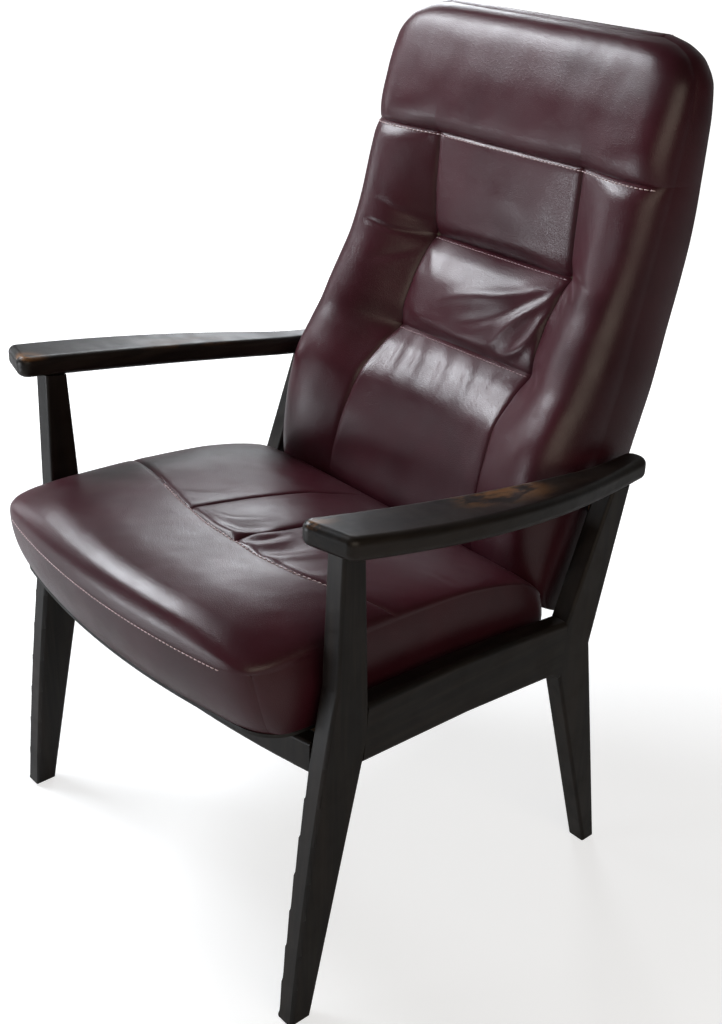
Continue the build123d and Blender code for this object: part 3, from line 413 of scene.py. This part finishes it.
def border(rows, columns):
    """Indices round a grid's edge, in order."""
    low = list(range(columns))
    right = [i * columns + columns - 1 for i in range(1, rows)]
    high = [(rows - 1) * columns + j for j in range(columns - 2, -1, -1)]
    left = [i * columns for i in range(rows - 2, 0, -1)]
    return low + right + high + left


def pillow(name, front, rear, swell, wall_rows, material):
    """A closed cushion: a front grid, a rear grid of the same count, and a wall that swells between."""
    rows, columns = front.shape[:2]
    count = rows * columns
    rim = border(rows, columns)
    vertices = [front.reshape(-1, 3), rear.reshape(-1, 3)]
    faces = grid_faces(rows, columns, 0, False) + grid_faces(rows, columns, count, True)
    near, far = vertices[0][rim], vertices[1][rim]
    out = unit(np.cross(far - near, np.roll(near, -1, 0) - np.roll(near, 1, 0)))
    loops = [rim]
    start = 2 * count
    for share in spaced(wall_rows + 1)[1:-1]:
        vertices.append(near + (far - near) * share + out * swell * 4 * share * (1 - share))
        loops.append(list(range(start, start + len(rim))))
        start += len(rim)
    loops.append([count + index for index in rim])
    for low, high in zip(loops, loops[1:]):
        for k in range(len(rim)):
            n = (k + 1) % len(rim)
            faces.append((low[k], high[k], high[n], low[n]))
    return new_object(name, np.concatenate(vertices), faces, [material])


def ridge(across, along, path, width, height):
    """A soft fold along a path of points, fading to both ends."""
    xs, ys = along_path(path, fold_steps)
    gap = np.sqrt((across[..., None] - xs) ** 2 + (along[..., None] - ys) ** 2)
    nearest = gap.argmin(-1)
    share = nearest / (fold_steps - 1)
    fade = np.sin(pi * (fold_end_share + (1 - 2 * fold_end_share) * share)) ** fold_fade_power
    distance = np.take_along_axis(gap, nearest[..., None], -1)[..., 0]
    return height * fade * np.exp(-((distance / width) ** 2))


def swells(across, along, rows):
    """A gentle uneven swell, the same each run. Each row gives a length, a height and a seed."""
    total = np.zeros_like(across)
    for length, height, seed in rows:
        draw = np.random.RandomState(seed)
        for _ in range(waves_in_a_swell):
            turn = draw.uniform(0, 2 * pi)
            size = length * draw.uniform(0.6, 1.6)
            way = across * cos(turn) + along * sin(turn)
            total += height / waves_in_a_swell * np.sin(way * 2 * pi / size + draw.uniform(0, 2 * pi))
    return total


def seam_dip(distance, depth, width):
    """A sewn groove, deepest where the distance is none."""
    return -depth * np.exp(-np.abs(distance) / width)


# The back


def spine(length):
    """Place and lean of the back's rear line at a length along it."""
    straight = np.minimum(length, back_straight)
    bend_length = back_bend_radius * (back_lean - head_lean)
    bend = np.clip(length - back_straight, 0, bend_length)
    lean = back_lean - bend / back_bend_radius
    rest = np.maximum(length - back_straight - bend_length, 0)
    y = back_foot_y + straight * sin(back_lean) + back_bend_radius * (np.cos(lean) - cos(back_lean))
    z = back_foot_z + straight * cos(back_lean) + back_bend_radius * (sin(back_lean) - np.sin(lean))
    return y + rest * np.sin(lean), z + rest * np.cos(lean), lean


def back_place(x, length, depth):
    """Points in front of the back's rear line, square to it."""
    y, z, lean = spine(length)
    return np.stack([x, y - depth * np.cos(lean), z + depth * np.sin(lean)], -1)


def station_curves():
    """For each panel, the points of every measure: length up the back, and value in metres."""
    curves = []
    for start, end, stations, _ in back_panels:
        at = [start + (end - start) * station[0] for station in stations]
        curves.append(
            {
                name: [(length, station[k + 1] * size) for length, station in zip(at, stations)]
                for k, (name, size) in enumerate(station_sizes.items())
            }
        )
    return curves


def back_grid():
    """Lengths of the grid's rows, and the measures there. Below the head, only the middle breaks at seams."""
    curves = station_curves()
    head = len(curves) - 1
    joined = {name: curves[0][name] + curves[1][name][1:] + curves[2][name][1:] for name in station_sizes}
    lengths = []
    measures = {name: [] for name in station_sizes}
    for index, (start, end, _, rows) in enumerate(back_panels):
        at = start + (end - start) * spaced(rows)
        if index < head:
            at = at[:-1]
        lengths.append(at)
        for name, parts in measures.items():
            own = index == head or name == "middle"
            parts.append(smooth(curves[index][name] if own else joined[name], at))
    return np.concatenate(lengths), {name: np.concatenate(parts)[:, None] for name, parts in measures.items()}


def back_columns(measures):
    """Sideways places: each upright seam is a column, and the columns crowd to seams and edges."""
    half = measures["half"] - boxing_draw
    seam = measures["half"] * (measures["seam"] / back_half)
    right = seam + (half - seam) * spaced(back_outer_columns)
    middle = seam * (2 * spaced(back_inner_columns)[1:-1] - 1)
    return np.concatenate([-right[:, ::-1], middle, right], 1), half, seam


def back_depths(x, measures, half, seam):
    """Depth of the padding's front at each sideways place."""
    boxing, crest, seam_depth = (measures[name] for name in ("boxing", "crest", "seam_depth"))
    crest_x = measures["half"] - bolster_width
    side = np.abs(x)
    centre = seam_depth + (measures["middle"] - seam_depth) * (1 - np.clip(side / seam, 0, 1) ** 2)
    rise = np.sin(ramp(side, seam, crest_x - seam) * pi / 2) ** bolster_rise_power
    flank = seam_depth + (crest - seam_depth) * rise
    fall = ramp(side, crest_x, half - crest_x)
    roll = boxing + (crest - boxing) * np.maximum(1 - fall**bolster_power, 0) ** (1 / bolster_power)
    return np.where(side <= seam, centre, np.where(side < crest_x, flank, roll))


def back_sewing(x, length, seam):
    """The seams' own grooves, and the tufts where they meet."""
    side = np.abs(x)
    between = under(side, seam + seam_softness, seam_softness)
    lift = np.zeros_like(x)
    for place, groove, tuft in panel_seams:
        lift += seam_dip(length - place, groove, panel_groove_width) * between
        lift -= tuft * np.exp(-np.hypot(side - seam, length - place) / tuft_width)
    clear = 1 - ramp(side, back_half * head_fade_start_share, back_half * head_fade_share)
    strength = head_groove_faint_share + (1 - head_groove_faint_share) * clear
    lift += seam_dip(length - head_seam, head_groove, head_groove_width) * strength
    upright = under(length, head_seam, upright_end_softness) * ramp(length, upright_start, upright_fade)
    return lift + seam_dip(side - seam, upright_groove, upright_groove_width) * upright


def panel(top, bottom):
    """Turns shares across and down a panel into sideways places and lengths up the back."""
    half = fold_panel_half
    return lambda points: [(2 * half * p - half, top + (bottom - top) * q) for p, q in points]


def back_folds(x, length):
    waist = panel(second_seam, third_seam)
    loin = panel(third_seam, third_seam - loin_fold_reach)
    total = np.zeros_like(x)
    for on_back, folds in ((waist, waist_folds), (loin, loin_folds)):
        for shares, width, height in folds:
            total += ridge(x, length, on_back(shares), width, height)
    return total


def back_cushion(material):
    lengths, measures = back_grid()
    x, half, seam = back_columns(measures)
    length = np.repeat(lengths[:, None], x.shape[1], 1)
    creases = back_folds(x, length) + swells(x, length, back_swells)
    depth = back_depths(x, measures, half, seam) + back_sewing(x, length, seam)
    depth += creases * ramp(half - np.abs(x), 0, back_edge_fade)
    length = length - foot_overhang * np.clip(1 - length / foot_overhang_reach, 0, 1) ** 2
    front = back_place(x, length, depth)
    rear = back_place(x, length, np.full_like(x, rear_rim_depth))
    return pillow("back_cushion_leather", front, rear, boxing_draw, back_wall_rows, material)


def back_cover(material):
    """The outside back: a thin padded panel with a rounded rim, let in behind the cushion."""
    half = back_half * head_row_shares[0][1] - cover_margin
    lengths = cover_foot + (back_length - cover_margin) * spaced(cover_rows)
    x, length = np.meshgrid(half * (2 * spaced(cover_columns) - 1), lengths)
    draw = cover_corner * corner_draw_share
    end = np.clip(length / back_length, 0, 1)
    px = x * (1 - draw / half * end ** (back_length / draw))
    pl = length - draw * (np.abs(x) / half) ** (half / draw) * end**cover_corner_power
    rim = np.minimum.reduce([half - np.abs(x), length - lengths[0], lengths[-1] - length])
    roll = np.sqrt(1 - (1 - ramp(rim, 0, cover_roll)) ** 2)
    bulge = (cover_swell + swells(px, pl, cover_swells)) * roll
    rear = back_place(px, pl, rear_rim_depth - bulge)
    front = back_place(px, pl, np.full_like(px, rear_rim_depth + cover_thickness))
    return pillow("back_cover_leather", front, rear, cover_rim_swell, cover_wall_rows, material)


# The seat


def seat_place(x, along, height):
    """Points on or over the seat's sloping plane."""
    y = seat_front_y + along * cos(seat_slope) + height * sin(seat_slope)
    z = seat_base_z - along * sin(seat_slope) + height * cos(seat_slope)
    return np.stack([x, y, z], -1)


def seat_columns(along):
    """Sideways places: each long seam is a column. The seams' places come with them."""
    seam = smooth(long_seams, along)[:, None]
    right = seam + (seat_half - seam) * spaced(seat_outer_columns)
    middle = seam * (2 * spaced(seat_inner_columns)[1:-1] - 1)
    return np.concatenate([-right[:, ::-1], middle, right], 1), seam


def seat_corners(x, along):
    """Rounds the four corners of the seat's outline."""
    middle = (seat_front + seat_rear) / 2
    reach = (seat_rear - seat_front) / 2
    to_front = along < middle
    draw = np.where(to_front, seat_front_corner, seat_rear_corner) * corner_draw_share
    end = np.abs(along - middle) / reach
    side = np.abs(x) / seat_half
    shift = draw * side ** (seat_half / draw) * end**seat_corner_power
    return x * (1 - draw / seat_half * end ** (reach / draw)), along + np.where(to_front, shift, -shift)


def seat_folds(x, along):
    total = np.zeros_like(x)
    for path, width, height in seat_fold_paths:
        total += ridge(x, along, path, width, height)
    return total


def seat_sewing(x, along, seam):
    """Grooves of the cross seam and the long seams, and the soft puff between the long ones."""
    side = np.abs(x)
    sewn = under(cross_seam, along, seam_softness) * (1 - ramp(along, long_seam_fade_start, long_seam_fade))
    cross = seam_dip(along - cross_seam, cross_groove, cross_groove_width)
    long = seam_dip(side - seam, long_groove, long_groove_width)
    puff = panel_puff * np.clip(1 - (side / seam) ** 2, 0, 1)
    return cross + (long + puff) * sewn


def seat_heights(x, along, seam):
    """Height of the leather's top over the seat's base. Sewing reaches nearer to the edges than folds."""
    inward = seat_half - np.abs(x)
    side = smooth(seat_side_seam, along)
    share = 1 - (1 - np.sqrt(ramp(inward, 0, side_roll))) ** side_roll_power
    height = side + (smooth(seat_crown, along) - side) * share
    edge = ramp(inward, 0, seat_edge_fade) * ramp(along, seat_front, seat_edge_fade)
    height += seat_sewing(x, along, seam) * np.clip(edge * sewing_fade_gain, 0, 1)
    return height + (seat_folds(x, along) + swells(x, along, seat_swells)) * edge


def seat_cushion(material):
    ahead = seat_front + (cross_seam - seat_front) * spaced(seat_front_rows)[:-1]
    after = cross_seam + (seat_rear - cross_seam) * spaced(seat_rear_rows)
    rows = np.concatenate([ahead, after])
    x, seam = seat_columns(rows)
    along = np.repeat(rows[:, None], x.shape[1], 1)
    px, pa = seat_corners(x, along)
    bent = smooth(cross_bend_shares, along)
    bow_share = (px / bow_half) ** 2
    bow = (1 - bent) * smooth(seat_bow, along) * bow_share + bent * smooth(cross_bend, px)
    tuck_in = seam_tuck * np.exp((seat_front - along) / seam_tuck)
    tuck_side = 1 - seam_tuck / seat_half * np.exp((np.abs(x) - seat_half) / seam_tuck)
    top = seat_place(px * tuck_side, pa + bow + tuck_in, seat_heights(x, along, seam))
    lead = 1 - (along - seat_front) / (seat_rear - seat_front)
    base_along = pa + seat_rake * lead + front_bow * bow_share * lead**2
    base = seat_place(px, base_along, np.full_like(px, seat_board))
    return pillow("seat_cushion_leather", top, base, seat_swell, seat_wall_rows, material)


# Sewing thread


def thread_piece(name, tracks, radius, material, body):
    """Many short threads as one piece: a round tube along each track of points, thin at both ends."""
    sides = thread_sides
    vertices, faces = [], []
    turns = np.linspace(0, 2 * pi, sides, endpoint=False)
    for track in tracks:
        along = unit(np.gradient(track, axis=0))
        side = unit(np.cross(along, thread_askew))
        up = np.cross(along, side)
        start = len(vertices)
        for ring in range(len(track)):
            girth = radius * (thread_end_share if ring in (0, len(track) - 1) else 1.0)
            vertices += [track[ring] + girth * (side[ring] * cos(t) + up[ring] * sin(t)) for t in turns]
        for ring in range(len(track) - 1):
            for k in range(sides):
                a = start + ring * sides + k
                b = start + ring * sides + (k + 1) % sides
                faces.append((a, b, b + sides, a + sides))
        last = start + (len(track) - 1) * sides
        faces += [tuple(range(start, start + sides))[::-1], tuple(range(last, last + sides))]
    piece = new_object(name, vertices, faces, [material])
    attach(piece, body)


def surface_tree(obj):
    mesh = obj.data
    return BVHTree.FromPolygons([v.co for v in mesh.vertices], [p.vertices[:] for p in mesh.polygons])


def stitch_tracks(tree, starts, aims):
    """Stitches between the places where lines from starts along aims meet the leather."""
    hits = [tree.ray_cast(Vector(start), Vector(aim)) for start, aim in zip(starts, aims)]
    tracks = []
    for (place, normal, *_), (following, *_) in zip(hits, hits[1:]):
        if place is None or following is None:
            continue
        way = following - place
        tracks.append(np.array([tuple(place + way * share + normal * rise) for share, rise in stitch_points]))
    return tracks


def seam_stitches(name, tree, on_body, path, pitch, radius, material, body):
    """A row of stitches along a path on the back or the seat, found from stitch_reach in front of it."""
    x, along = along_path(path, int(path_lengths(path)[-1] / pitch) + 1)
    starts = on_body(x, along, np.full_like(x, stitch_reach))
    aims = unit(on_body(x, along, np.zeros_like(x)) - starts)
    thread_piece(name, stitch_tracks(tree, starts, aims), radius, material, body)


def even_row(half, pitch):
    return np.linspace(-half, half, int(2 * half / pitch) + 1)


def boxing_stitches(name, tree, height, half, pitch, radius, material):
    """A level row of stitches across the seat's front."""
    x = even_row(half, pitch)
    heights = np.full_like(x, height)
    starts = seat_place(x, np.full_like(x, seat_front - stitch_reach), heights)
    aims = unit(seat_place(x, np.zeros_like(x), heights) - starts)
    thread_piece(name, stitch_tracks(tree, starts, aims), radius, material, "seat")


def overcast_stitches(name, pitch, radius, material):
    """Slanting stitches over the rear edge of the back's top."""
    half = back_half * head_row_shares[-1][1] * overcast_reach_share
    slant, depth, rise = np.array(overcast_points).T
    length = back_length + rise
    tracks = [back_place(x + slant, length, rear_rim_depth + depth) for x in even_row(half, pitch)]
    thread_piece(name, tracks, radius, material, "back")


# Materials


class Recipe:
    """A node material being built. Its methods return output sockets, and finish returns the material."""

    def __init__(self, name):
        self.material = bpy.data.materials.new(name)
        self.material.use_nodes = True
        self.tree = self.material.node_tree
        self.shader = self.tree.nodes["Principled BSDF"]
        self.place = self.node("ShaderNodeTexCoord").outputs["Object"]

    def node(self, kind, **settings):
        node = self.tree.nodes.new(kind)
        for key, value in settings.items():
            setattr(node, key, value)
        return node

    def link(self, source, target):
        """Joins a socket to a target, or sets the target to a plain value."""
        if isinstance(source, (int, float, tuple)):
            target.default_value = source
        else:
            self.tree.links.new(source, target)

    def stretched(self, scale):
        """The place, scaled by an amount along each axis."""
        node = self.node("ShaderNodeMapping")
        self.link(self.place, node.inputs["Vector"])
        node.inputs["Scale"].default_value = scale
        return node.outputs["Vector"]

    def noise(self, scale, detail=3.0, vector=None, roughness=0.5):
        node = self.node("ShaderNodeTexNoise")
        node.inputs["Scale"].default_value = scale
        node.inputs["Detail"].default_value = detail
        node.inputs["Roughness"].default_value = roughness
        self.link(vector or self.place, node.inputs["Vector"])
        return node.outputs["Fac"]

    def cells(self, scale, feature="DISTANCE_TO_EDGE", output="Distance"):
        node = self.node("ShaderNodeTexVoronoi", feature=feature)
        node.inputs["Scale"].default_value = scale
        self.link(self.place, node.inputs["Vector"])
        return node.outputs[output]

    def fit(self, value, low, high, to_low=0.0, to_high=1.0):
        """Turns values from low to high softly into values from to_low to to_high."""
        node = self.node("ShaderNodeMapRange", interpolation_type="SMOOTHSTEP")
        self.link(value, node.inputs["Value"])
        for key, number in (("From Min", low), ("From Max", high), ("To Min", to_low), ("To Max", to_high)):
            node.inputs[key].default_value = number
        return node.outputs["Result"]

    def maths(self, operation, a, b=0.0):
        node = self.node("ShaderNodeMath", operation=operation)
        self.link(a, node.inputs[0])
        self.link(b, node.inputs[1])
        return node.outputs[0]

    def mix(self, share, a, b):
        """A colour from a to b."""
        node = self.node("ShaderNodeMix", data_type="RGBA")
        self.link(share, node.inputs["Factor"])
        self.link(a, node.inputs[6])
        self.link(b, node.inputs[7])
        return node.outputs[2]

    def axes(self, vector=None):
        node = self.node("ShaderNodeSeparateXYZ")
        self.link(vector or self.place, node.inputs[0])
        return node.outputs

    def normal(self):
        return self.node("ShaderNodeNewGeometry").outputs["Normal"]

    def bump(self, height, strength, distance, under=None):
        node = self.node("ShaderNodeBump")
        node.inputs["Strength"].default_value = strength
        node.inputs["Distance"].default_value = distance
        self.link(height, node.inputs["Height"])
        if under is not None:
            self.link(under, node.inputs["Normal"])
        return node.outputs["Normal"]

    def finish(self, color, roughness, normal=None, **fixed):
        self.link(color, self.shader.inputs["Base Color"])
        self.link(roughness, self.shader.inputs["Roughness"])
        if normal is not None:
            self.link(normal, self.shader.inputs["Normal"])
        for key, value in fixed.items():
            self.shader.inputs[key.replace("_", " ")].default_value = value
        return self.material


def leather_material():
    """Dark oxblood hide: fine pebbles and pores, and cloudy wear in colour and gloss."""
    deep = (0.040, 0.0068, 0.0118, 1)
    fair = (0.060, 0.0105, 0.0175, 1)
    rubbed = (0.076, 0.017, 0.026, 1)
    pebbles_a_metre = 480.0
    pores_a_metre = 1500.0
    r = Recipe("oxblood_leather")
    color = r.mix(r.fit(r.noise(5.5, 4), 0.35, 0.68), deep, fair)
    color = r.mix(r.fit(r.noise(19.0, 3), 0.45, 0.80, 0.0, 0.30), color, rubbed)
    rough = r.fit(r.noise(26.0, 3), 0.3, 0.7, 0.30, 0.38)
    grain = r.bump(r.fit(r.cells(pebbles_a_metre), 0.0, 0.30), 0.22, 0.0004)
    pores = r.bump(r.noise(pores_a_metre, 2), 0.10, 0.0003, grain)
    return r.finish(color, rough, pores, Specular_IOR_Level=0.50, Coat_Weight=0.05, Coat_Roughness=0.30)


def rubbed_share(r):
    """Where hands have rubbed the arms: inner front corners, and a patch behind, mostly on the left arm."""
    blotches = (60.0, 14.0, 60.0)
    x, y, _ = r.axes()
    side = r.maths("ABSOLUTE", x)
    up = r.fit(r.axes(r.normal())[2], 0.30, 0.85)
    blotch = r.fit(r.noise(1.0, 6, r.stretched(blotches), 0.7), 0.42, 0.56)
    front = r.maths("MULTIPLY", r.fit(side, 0.262, 0.288, 1.0, 0.0), r.fit(y, -0.262, -0.215, 1.0, 0.0))
    rear = r.maths("MULTIPLY", r.fit(y, -0.10, -0.05, 0.0, 1.0), r.fit(y, 0.02, 0.07, 1.0, 0.0))
    rear = r.maths("MULTIPLY", rear, r.fit(side, 0.275, 0.318, 1.0, 0.0))
    rear = r.maths("MULTIPLY", rear, r.fit(x, -0.1, 0.1, 0.15, 0.6))
    return r.maths("MULTIPLY", r.maths("MULTIPLY", r.maths("MAXIMUM", front, rear), up), blotch)


def wood_material(name, grain, worn):
    """Black-brown stained hardwood with its grain along one axis, rubbed through if worn."""
    dark = (0.0050, 0.0037, 0.0029, 1)
    brown = (0.0145, 0.0105, 0.0080, 1)
    pale_streak = (0.021, 0.0145, 0.0105, 1)
    bare_wood = (0.30, 0.135, 0.045, 1)
    streak_share = 0.22
    r = Recipe(name)
    fibre = r.noise(1.0, 5, r.stretched(grain), 0.62)
    streak = r.noise(1.0, 2, r.stretched(tuple(streak_share * scale for scale in grain)), 0.5)
    color = r.mix(r.fit(fibre, 0.38, 0.66), dark, brown)
    color = r.mix(r.fit(streak, 0.45, 0.70, 0.0, 0.55), color, pale_streak)
    rough = r.fit(r.noise(30.0, 3), 0.3, 0.7, 0.34, 0.48)
    if worn:
        color = r.mix(rubbed_share(r), color, bare_wood)
    relief = r.bump(fibre, 0.16, 0.0004)
    return r.finish(color, rough, relief, Specular_IOR_Level=0.32, Coat_Weight=0.04, Coat_Roughness=0.35)


def plain_wood_material():
    """Planed beech with dark flecks."""
    dark = (0.36, 0.215, 0.115, 1)
    light = (0.50, 0.33, 0.19, 1)
    fleck = (0.22, 0.12, 0.06, 1)
    r = Recipe("planed_beech")
    fibre = r.noise(1.0, 5, r.stretched((12.0, 150.0, 150.0)), 0.6)
    color = r.mix(r.fit(fibre, 0.35, 0.68), dark, light)
    color = r.mix(r.fit(r.cells(260.0), 0.0, 0.05, 0.5, 0.0), color, fleck)
    return r.finish(color, r.fit(fibre, 0.3, 0.7, 0.5, 0.65), r.bump(fibre, 0.2, 0.0004))


def steel_material():
    """Zinc-plated steel: spangles, and a fine brushing."""
    dark = (0.50, 0.50, 0.51, 1)
    light = (0.62, 0.62, 0.64, 1)
    r = Recipe("zinc_steel")
    brushed = r.noise(1.0, 4, r.stretched((900.0, 60.0, 900.0)), 0.6)
    color = r.mix(r.fit(r.cells(240.0, "F1"), 0.2, 0.7), dark, light)
    return r.finish(color, r.fit(brushed, 0.3, 0.7, 0.24, 0.42), r.bump(brushed, 0.12, 0.0002), Metallic=1.0)


def nylon_material():
    dark = (0.012, 0.012, 0.013, 1)
    light = (0.022, 0.022, 0.023, 1)
    r = Recipe("black_nylon")
    cloud = r.noise(60.0, 3)
    color = r.mix(r.fit(cloud, 0.35, 0.65), dark, light)
    return r.finish(color, r.fit(cloud, 0.3, 0.7, 0.42, 0.55), r.bump(r.noise(1800.0, 2), 0.15, 0.0002))


def cork_material():
    """Rubberised cork: crumbs of different browns."""
    dark = (0.24, 0.13, 0.06, 1)
    light = (0.42, 0.27, 0.15, 1)
    crumbs_a_metre = 700.0
    r = Recipe("rubber_cork")
    color = r.mix(r.cells(crumbs_a_metre, "F1", "Color"), dark, light)
    return r.finish(color, 0.85, r.bump(r.cells(crumbs_a_metre), 0.4, 0.0004))


def webbing_material():
    dark = (0.085, 0.062, 0.042, 1)
    light = (0.19, 0.145, 0.10, 1)
    threads_a_metre = 2600.0
    r = Recipe("rubber_webbing")
    x, y, _ = r.axes()
    warp, weft = (r.maths("SINE", r.maths("MULTIPLY", axis, threads_a_metre)) for axis in (x, y))
    weave = r.maths("MULTIPLY", warp, weft)
    color = r.mix(r.fit(weave, -0.5, 0.5), dark, light)
    return r.finish(color, 0.8, r.bump(weave, 0.5, 0.0005))


def board_material():
    dark = (0.007, 0.007, 0.007, 1)
    light = (0.016, 0.015, 0.014, 1)
    r = Recipe("black_hardboard")
    cloud = r.noise(35.0, 5)
    color = r.mix(r.fit(cloud, 0.35, 0.65), dark, light)
    return r.finish(color, r.fit(cloud, 0.3, 0.7, 0.5, 0.66), r.bump(r.noise(900.0, 3), 0.2, 0.0003))


def thread_material(name, dark, light):
    r = Recipe(name)
    ply = r.noise(1600.0, 2)
    return r.finish(r.mix(r.fit(ply, 0.35, 0.65), dark, light), 0.6, r.bump(ply, 0.4, 0.0002))


grain_along_y = (130.0, 7.0, 130.0)
grain_along_z = (130.0, 130.0, 7.0)
leather = leather_material()
arm_wood = wood_material("arm_wood", grain_along_y, True)
rail_wood = wood_material("rail_wood", grain_along_y, False)
leg_wood = wood_material("leg_wood", grain_along_z, False)
pale_thread = thread_material("pale_thread", (0.55, 0.42, 0.43, 1), (0.80, 0.62, 0.62, 1))
# The pale thread again, darkened as painted shade for the stitches that lie in the two lower seams' creases
painted_shade_thread = thread_material("painted_shade_thread", (0.30, 0.19, 0.21, 1), (0.50, 0.34, 0.36, 1))
finishes = {
    "plain_wood": plain_wood_material(),
    "steel": steel_material(),
    "nylon": nylon_material(),
    "cork": cork_material(),
    "leather": leather,
    "webbing": webbing_material(),
    "black_board": board_material(),
}


def node_material(node, slot):
    """A CAD node's finish. The arms' and side rails' grain runs along Y, the rest of the frame's along Z."""
    if slot != "stained_wood":
        return finishes[slot]
    if node.startswith("armrest"):
        return arm_wood
    return rail_wood if node.startswith("side_rail") else leg_wood


for entry in frame["record"]["subparts"]:
    obj = frame["nodes"][entry["node"]]
    obj.data.materials.clear()
    obj.data.materials.append(node_material(entry["node"], entry["material_slot"]))


# The leather pieces on their bodies

back_piece = back_cushion(leather)
seat_piece = seat_cushion(leather)
cover_piece = back_cover(leather)
for piece, body, node in (
    (back_piece, "back", "back_cushion"),
    (seat_piece, "seat", "seat_cushion"),
    (cover_piece, "back", "back_cover"),
):
    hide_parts(node)
    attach(piece, body)


# The stitches on the leather


def back_row(name, place, half, material):
    """A level row of stitches just under a seam of the back."""
    path = [(x, place - stitch_row_gap) for x in (-half, 0, half)]
    seam_stitches(name, back_tree, back_place, path, stitch_pitch, seam_thread, material, "back")


back_tree = surface_tree(back_piece)
seat_tree = surface_tree(seat_piece)
cross_row = [(x, cross_seam + smooth(cross_bend, x) - stitch_row_gap) for x, _ in cross_bend[1:-1]]
boxing_row = seat_front_height - boxing_row_drop
back_row("head_seam_stitches", head_seam, head_row_half, pale_thread)
# The two lower seams' stitches take the darkened thread, painted shade of their creases
back_row("second_seam_stitches", second_seam, panel_row_half, painted_shade_thread)
back_row("third_seam_stitches", third_seam, panel_row_half, painted_shade_thread)
seam_stitches(
    "cross_seam_stitches",
    seat_tree,
    seat_place,
    cross_row,
    wide_stitch_pitch,
    cross_thread,
    pale_thread,
    "seat",
)
boxing_stitches(
    "boxing_seam_stitches",
    seat_tree,
    boxing_row,
    boxing_row_half,
    stitch_pitch,
    fine_thread,
    pale_thread,
)
overcast_stitches("top_edge_stitches", wide_stitch_pitch, overcast_thread, pale_thread)


# Floor, backdrop and light


def stage_material(name, near_glow):
    """Glows white to the camera, less near the chair, and only faintly in reflections."""
    r = Recipe(name)
    rays = r.node("ShaderNodeLightPath").outputs
    bounced = r.maths("MAXIMUM", rays["Is Glossy Ray"], rays["Is Transmission Ray"])
    faint = r.maths("MULTIPLY", bounced, reflected_glow)
    seen = r.maths("MAXIMUM", rays["Is Camera Ray"], faint)
    length = r.node("ShaderNodeVectorMath", operation="LENGTH")
    r.link(r.place, length.inputs[0])
    glow = r.fit(length.outputs["Value"], glow_start, glow_end, near_glow, 1.0)
    r.link(r.maths("MULTIPLY", seen, glow), r.shader.inputs["Emission Strength"])
    r.link(white, r.shader.inputs["Emission Color"])
    return r.finish(stage_grey, 0.9, Specular_IOR_Level=0.1)


def plane(name, corners, material):
    obj = new_object(name, corners, [(0, 1, 2, 3)], [material], False)


floor_corners = [(x * floor_half, y * floor_half, 0) for x, y in ((-1, -1), (1, -1), (1, 1), (-1, 1))]
backdrop_corners = [
    (*backdrop_left, 0),
    (*backdrop_right, 0),
    (*backdrop_right, backdrop_height),
    (*backdrop_left, backdrop_height),
]
plane("floor", floor_corners, stage_material("floor_white", floor_glow))
plane("backdrop", backdrop_corners, stage_material("backdrop_white", backdrop_glow))


def area_light(name, place, target, size, power, color):
    data = bpy.data.lights.new(name, "AREA")
    data.shape = "RECTANGLE"
    data.size, data.size_y = size
    data.energy = power
    data.color = color
    obj = bpy.data.objects.new(name, data)
    way = Vector(target) - Vector(place)
    obj.matrix_world = Matrix.Translation(place) @ way.to_track_quat("-Z", "Y").to_matrix().to_4x4()
    bpy.context.scene.collection.objects.link(obj)


# Each light's name, place, target, width and height, power in watts, and colour
lights = (
    ("window", (-1.00, -1.95, 0.30), (0, 0, 0.66), (0.8, 0.45), 16.0, daylight),
    ("side_window", (-2.4, -0.75, 0.85), (0, 0, 0.60), (0.40, 0.9), 6.0, daylight),
    ("rear_window", (-1.9, 1.65, 1.5), (0, 0, 0.5), (0.9, 0.9), 19.0, daylight),
    ("high_window", (-1.55, -0.60, 2.1), (0, -0.2, 0.5), (0.9, 0.7), 52.0, daylight),
    ("room", (2.2, -0.8, 1.5), (0, 0, 0.5), (2.4, 1.6), 18.0, lamplight),
)
for light in lights:
    area_light(*light)

# The world is white to the camera and dim to all else.
world = bpy.data.worlds.new("studio")
bpy.context.scene.world = world
world.use_nodes = True
world_tree = world.node_tree
sky = world_tree.nodes["Background"]
sky.inputs["Color"].default_value = white
sky_rays = world_tree.nodes.new("ShaderNodeLightPath")
sky_strength = world_tree.nodes.new("ShaderNodeMath")
sky_strength.operation = "MAXIMUM"
sky_strength.inputs[1].default_value = world_light
world_tree.links.new(sky_rays.outputs["Is Camera Ray"], sky_strength.inputs[0])
world_tree.links.new(sky_strength.outputs[0], sky.inputs["Strength"])


# Camera


def camera_matrix():
    """Place and turn of the camera from its azimuth, elevation and roll."""
    az, el = camera_azimuth, camera_elevation
    back_axis = Vector((sin(az) * cos(el), -cos(az) * cos(el), sin(el)))
    level_right = Vector((cos(az), sin(az), 0))
    level_up = back_axis.cross(level_right)
    right_axis = cos(camera_roll) * level_right + sin(camera_roll) * level_up
    up_axis = cos(camera_roll) * level_up - sin(camera_roll) * level_right
    turn = Matrix((right_axis, up_axis, back_axis)).transposed()
    return Matrix.Translation(camera_place) @ turn.to_4x4()


camera_data = bpy.data.cameras.new("photo_view")
camera_data.sensor_width = camera_sensor_mm
camera_data.lens = camera_focal_px * camera_sensor_mm / photo_height
camera_data.shift_x = (photo_width / 2 - camera_centre_px[0]) / photo_height
camera_data.shift_y = (camera_centre_px[1] - photo_height / 2) / photo_height
camera_data.clip_end = camera_far
camera = bpy.data.objects.new("photo_view", camera_data)
camera.matrix_world = camera_matrix()
bpy.context.scene.collection.objects.link(camera)
bpy.context.scene.camera = camera
bpy.context.scene.view_settings.view_transform = "Standard"
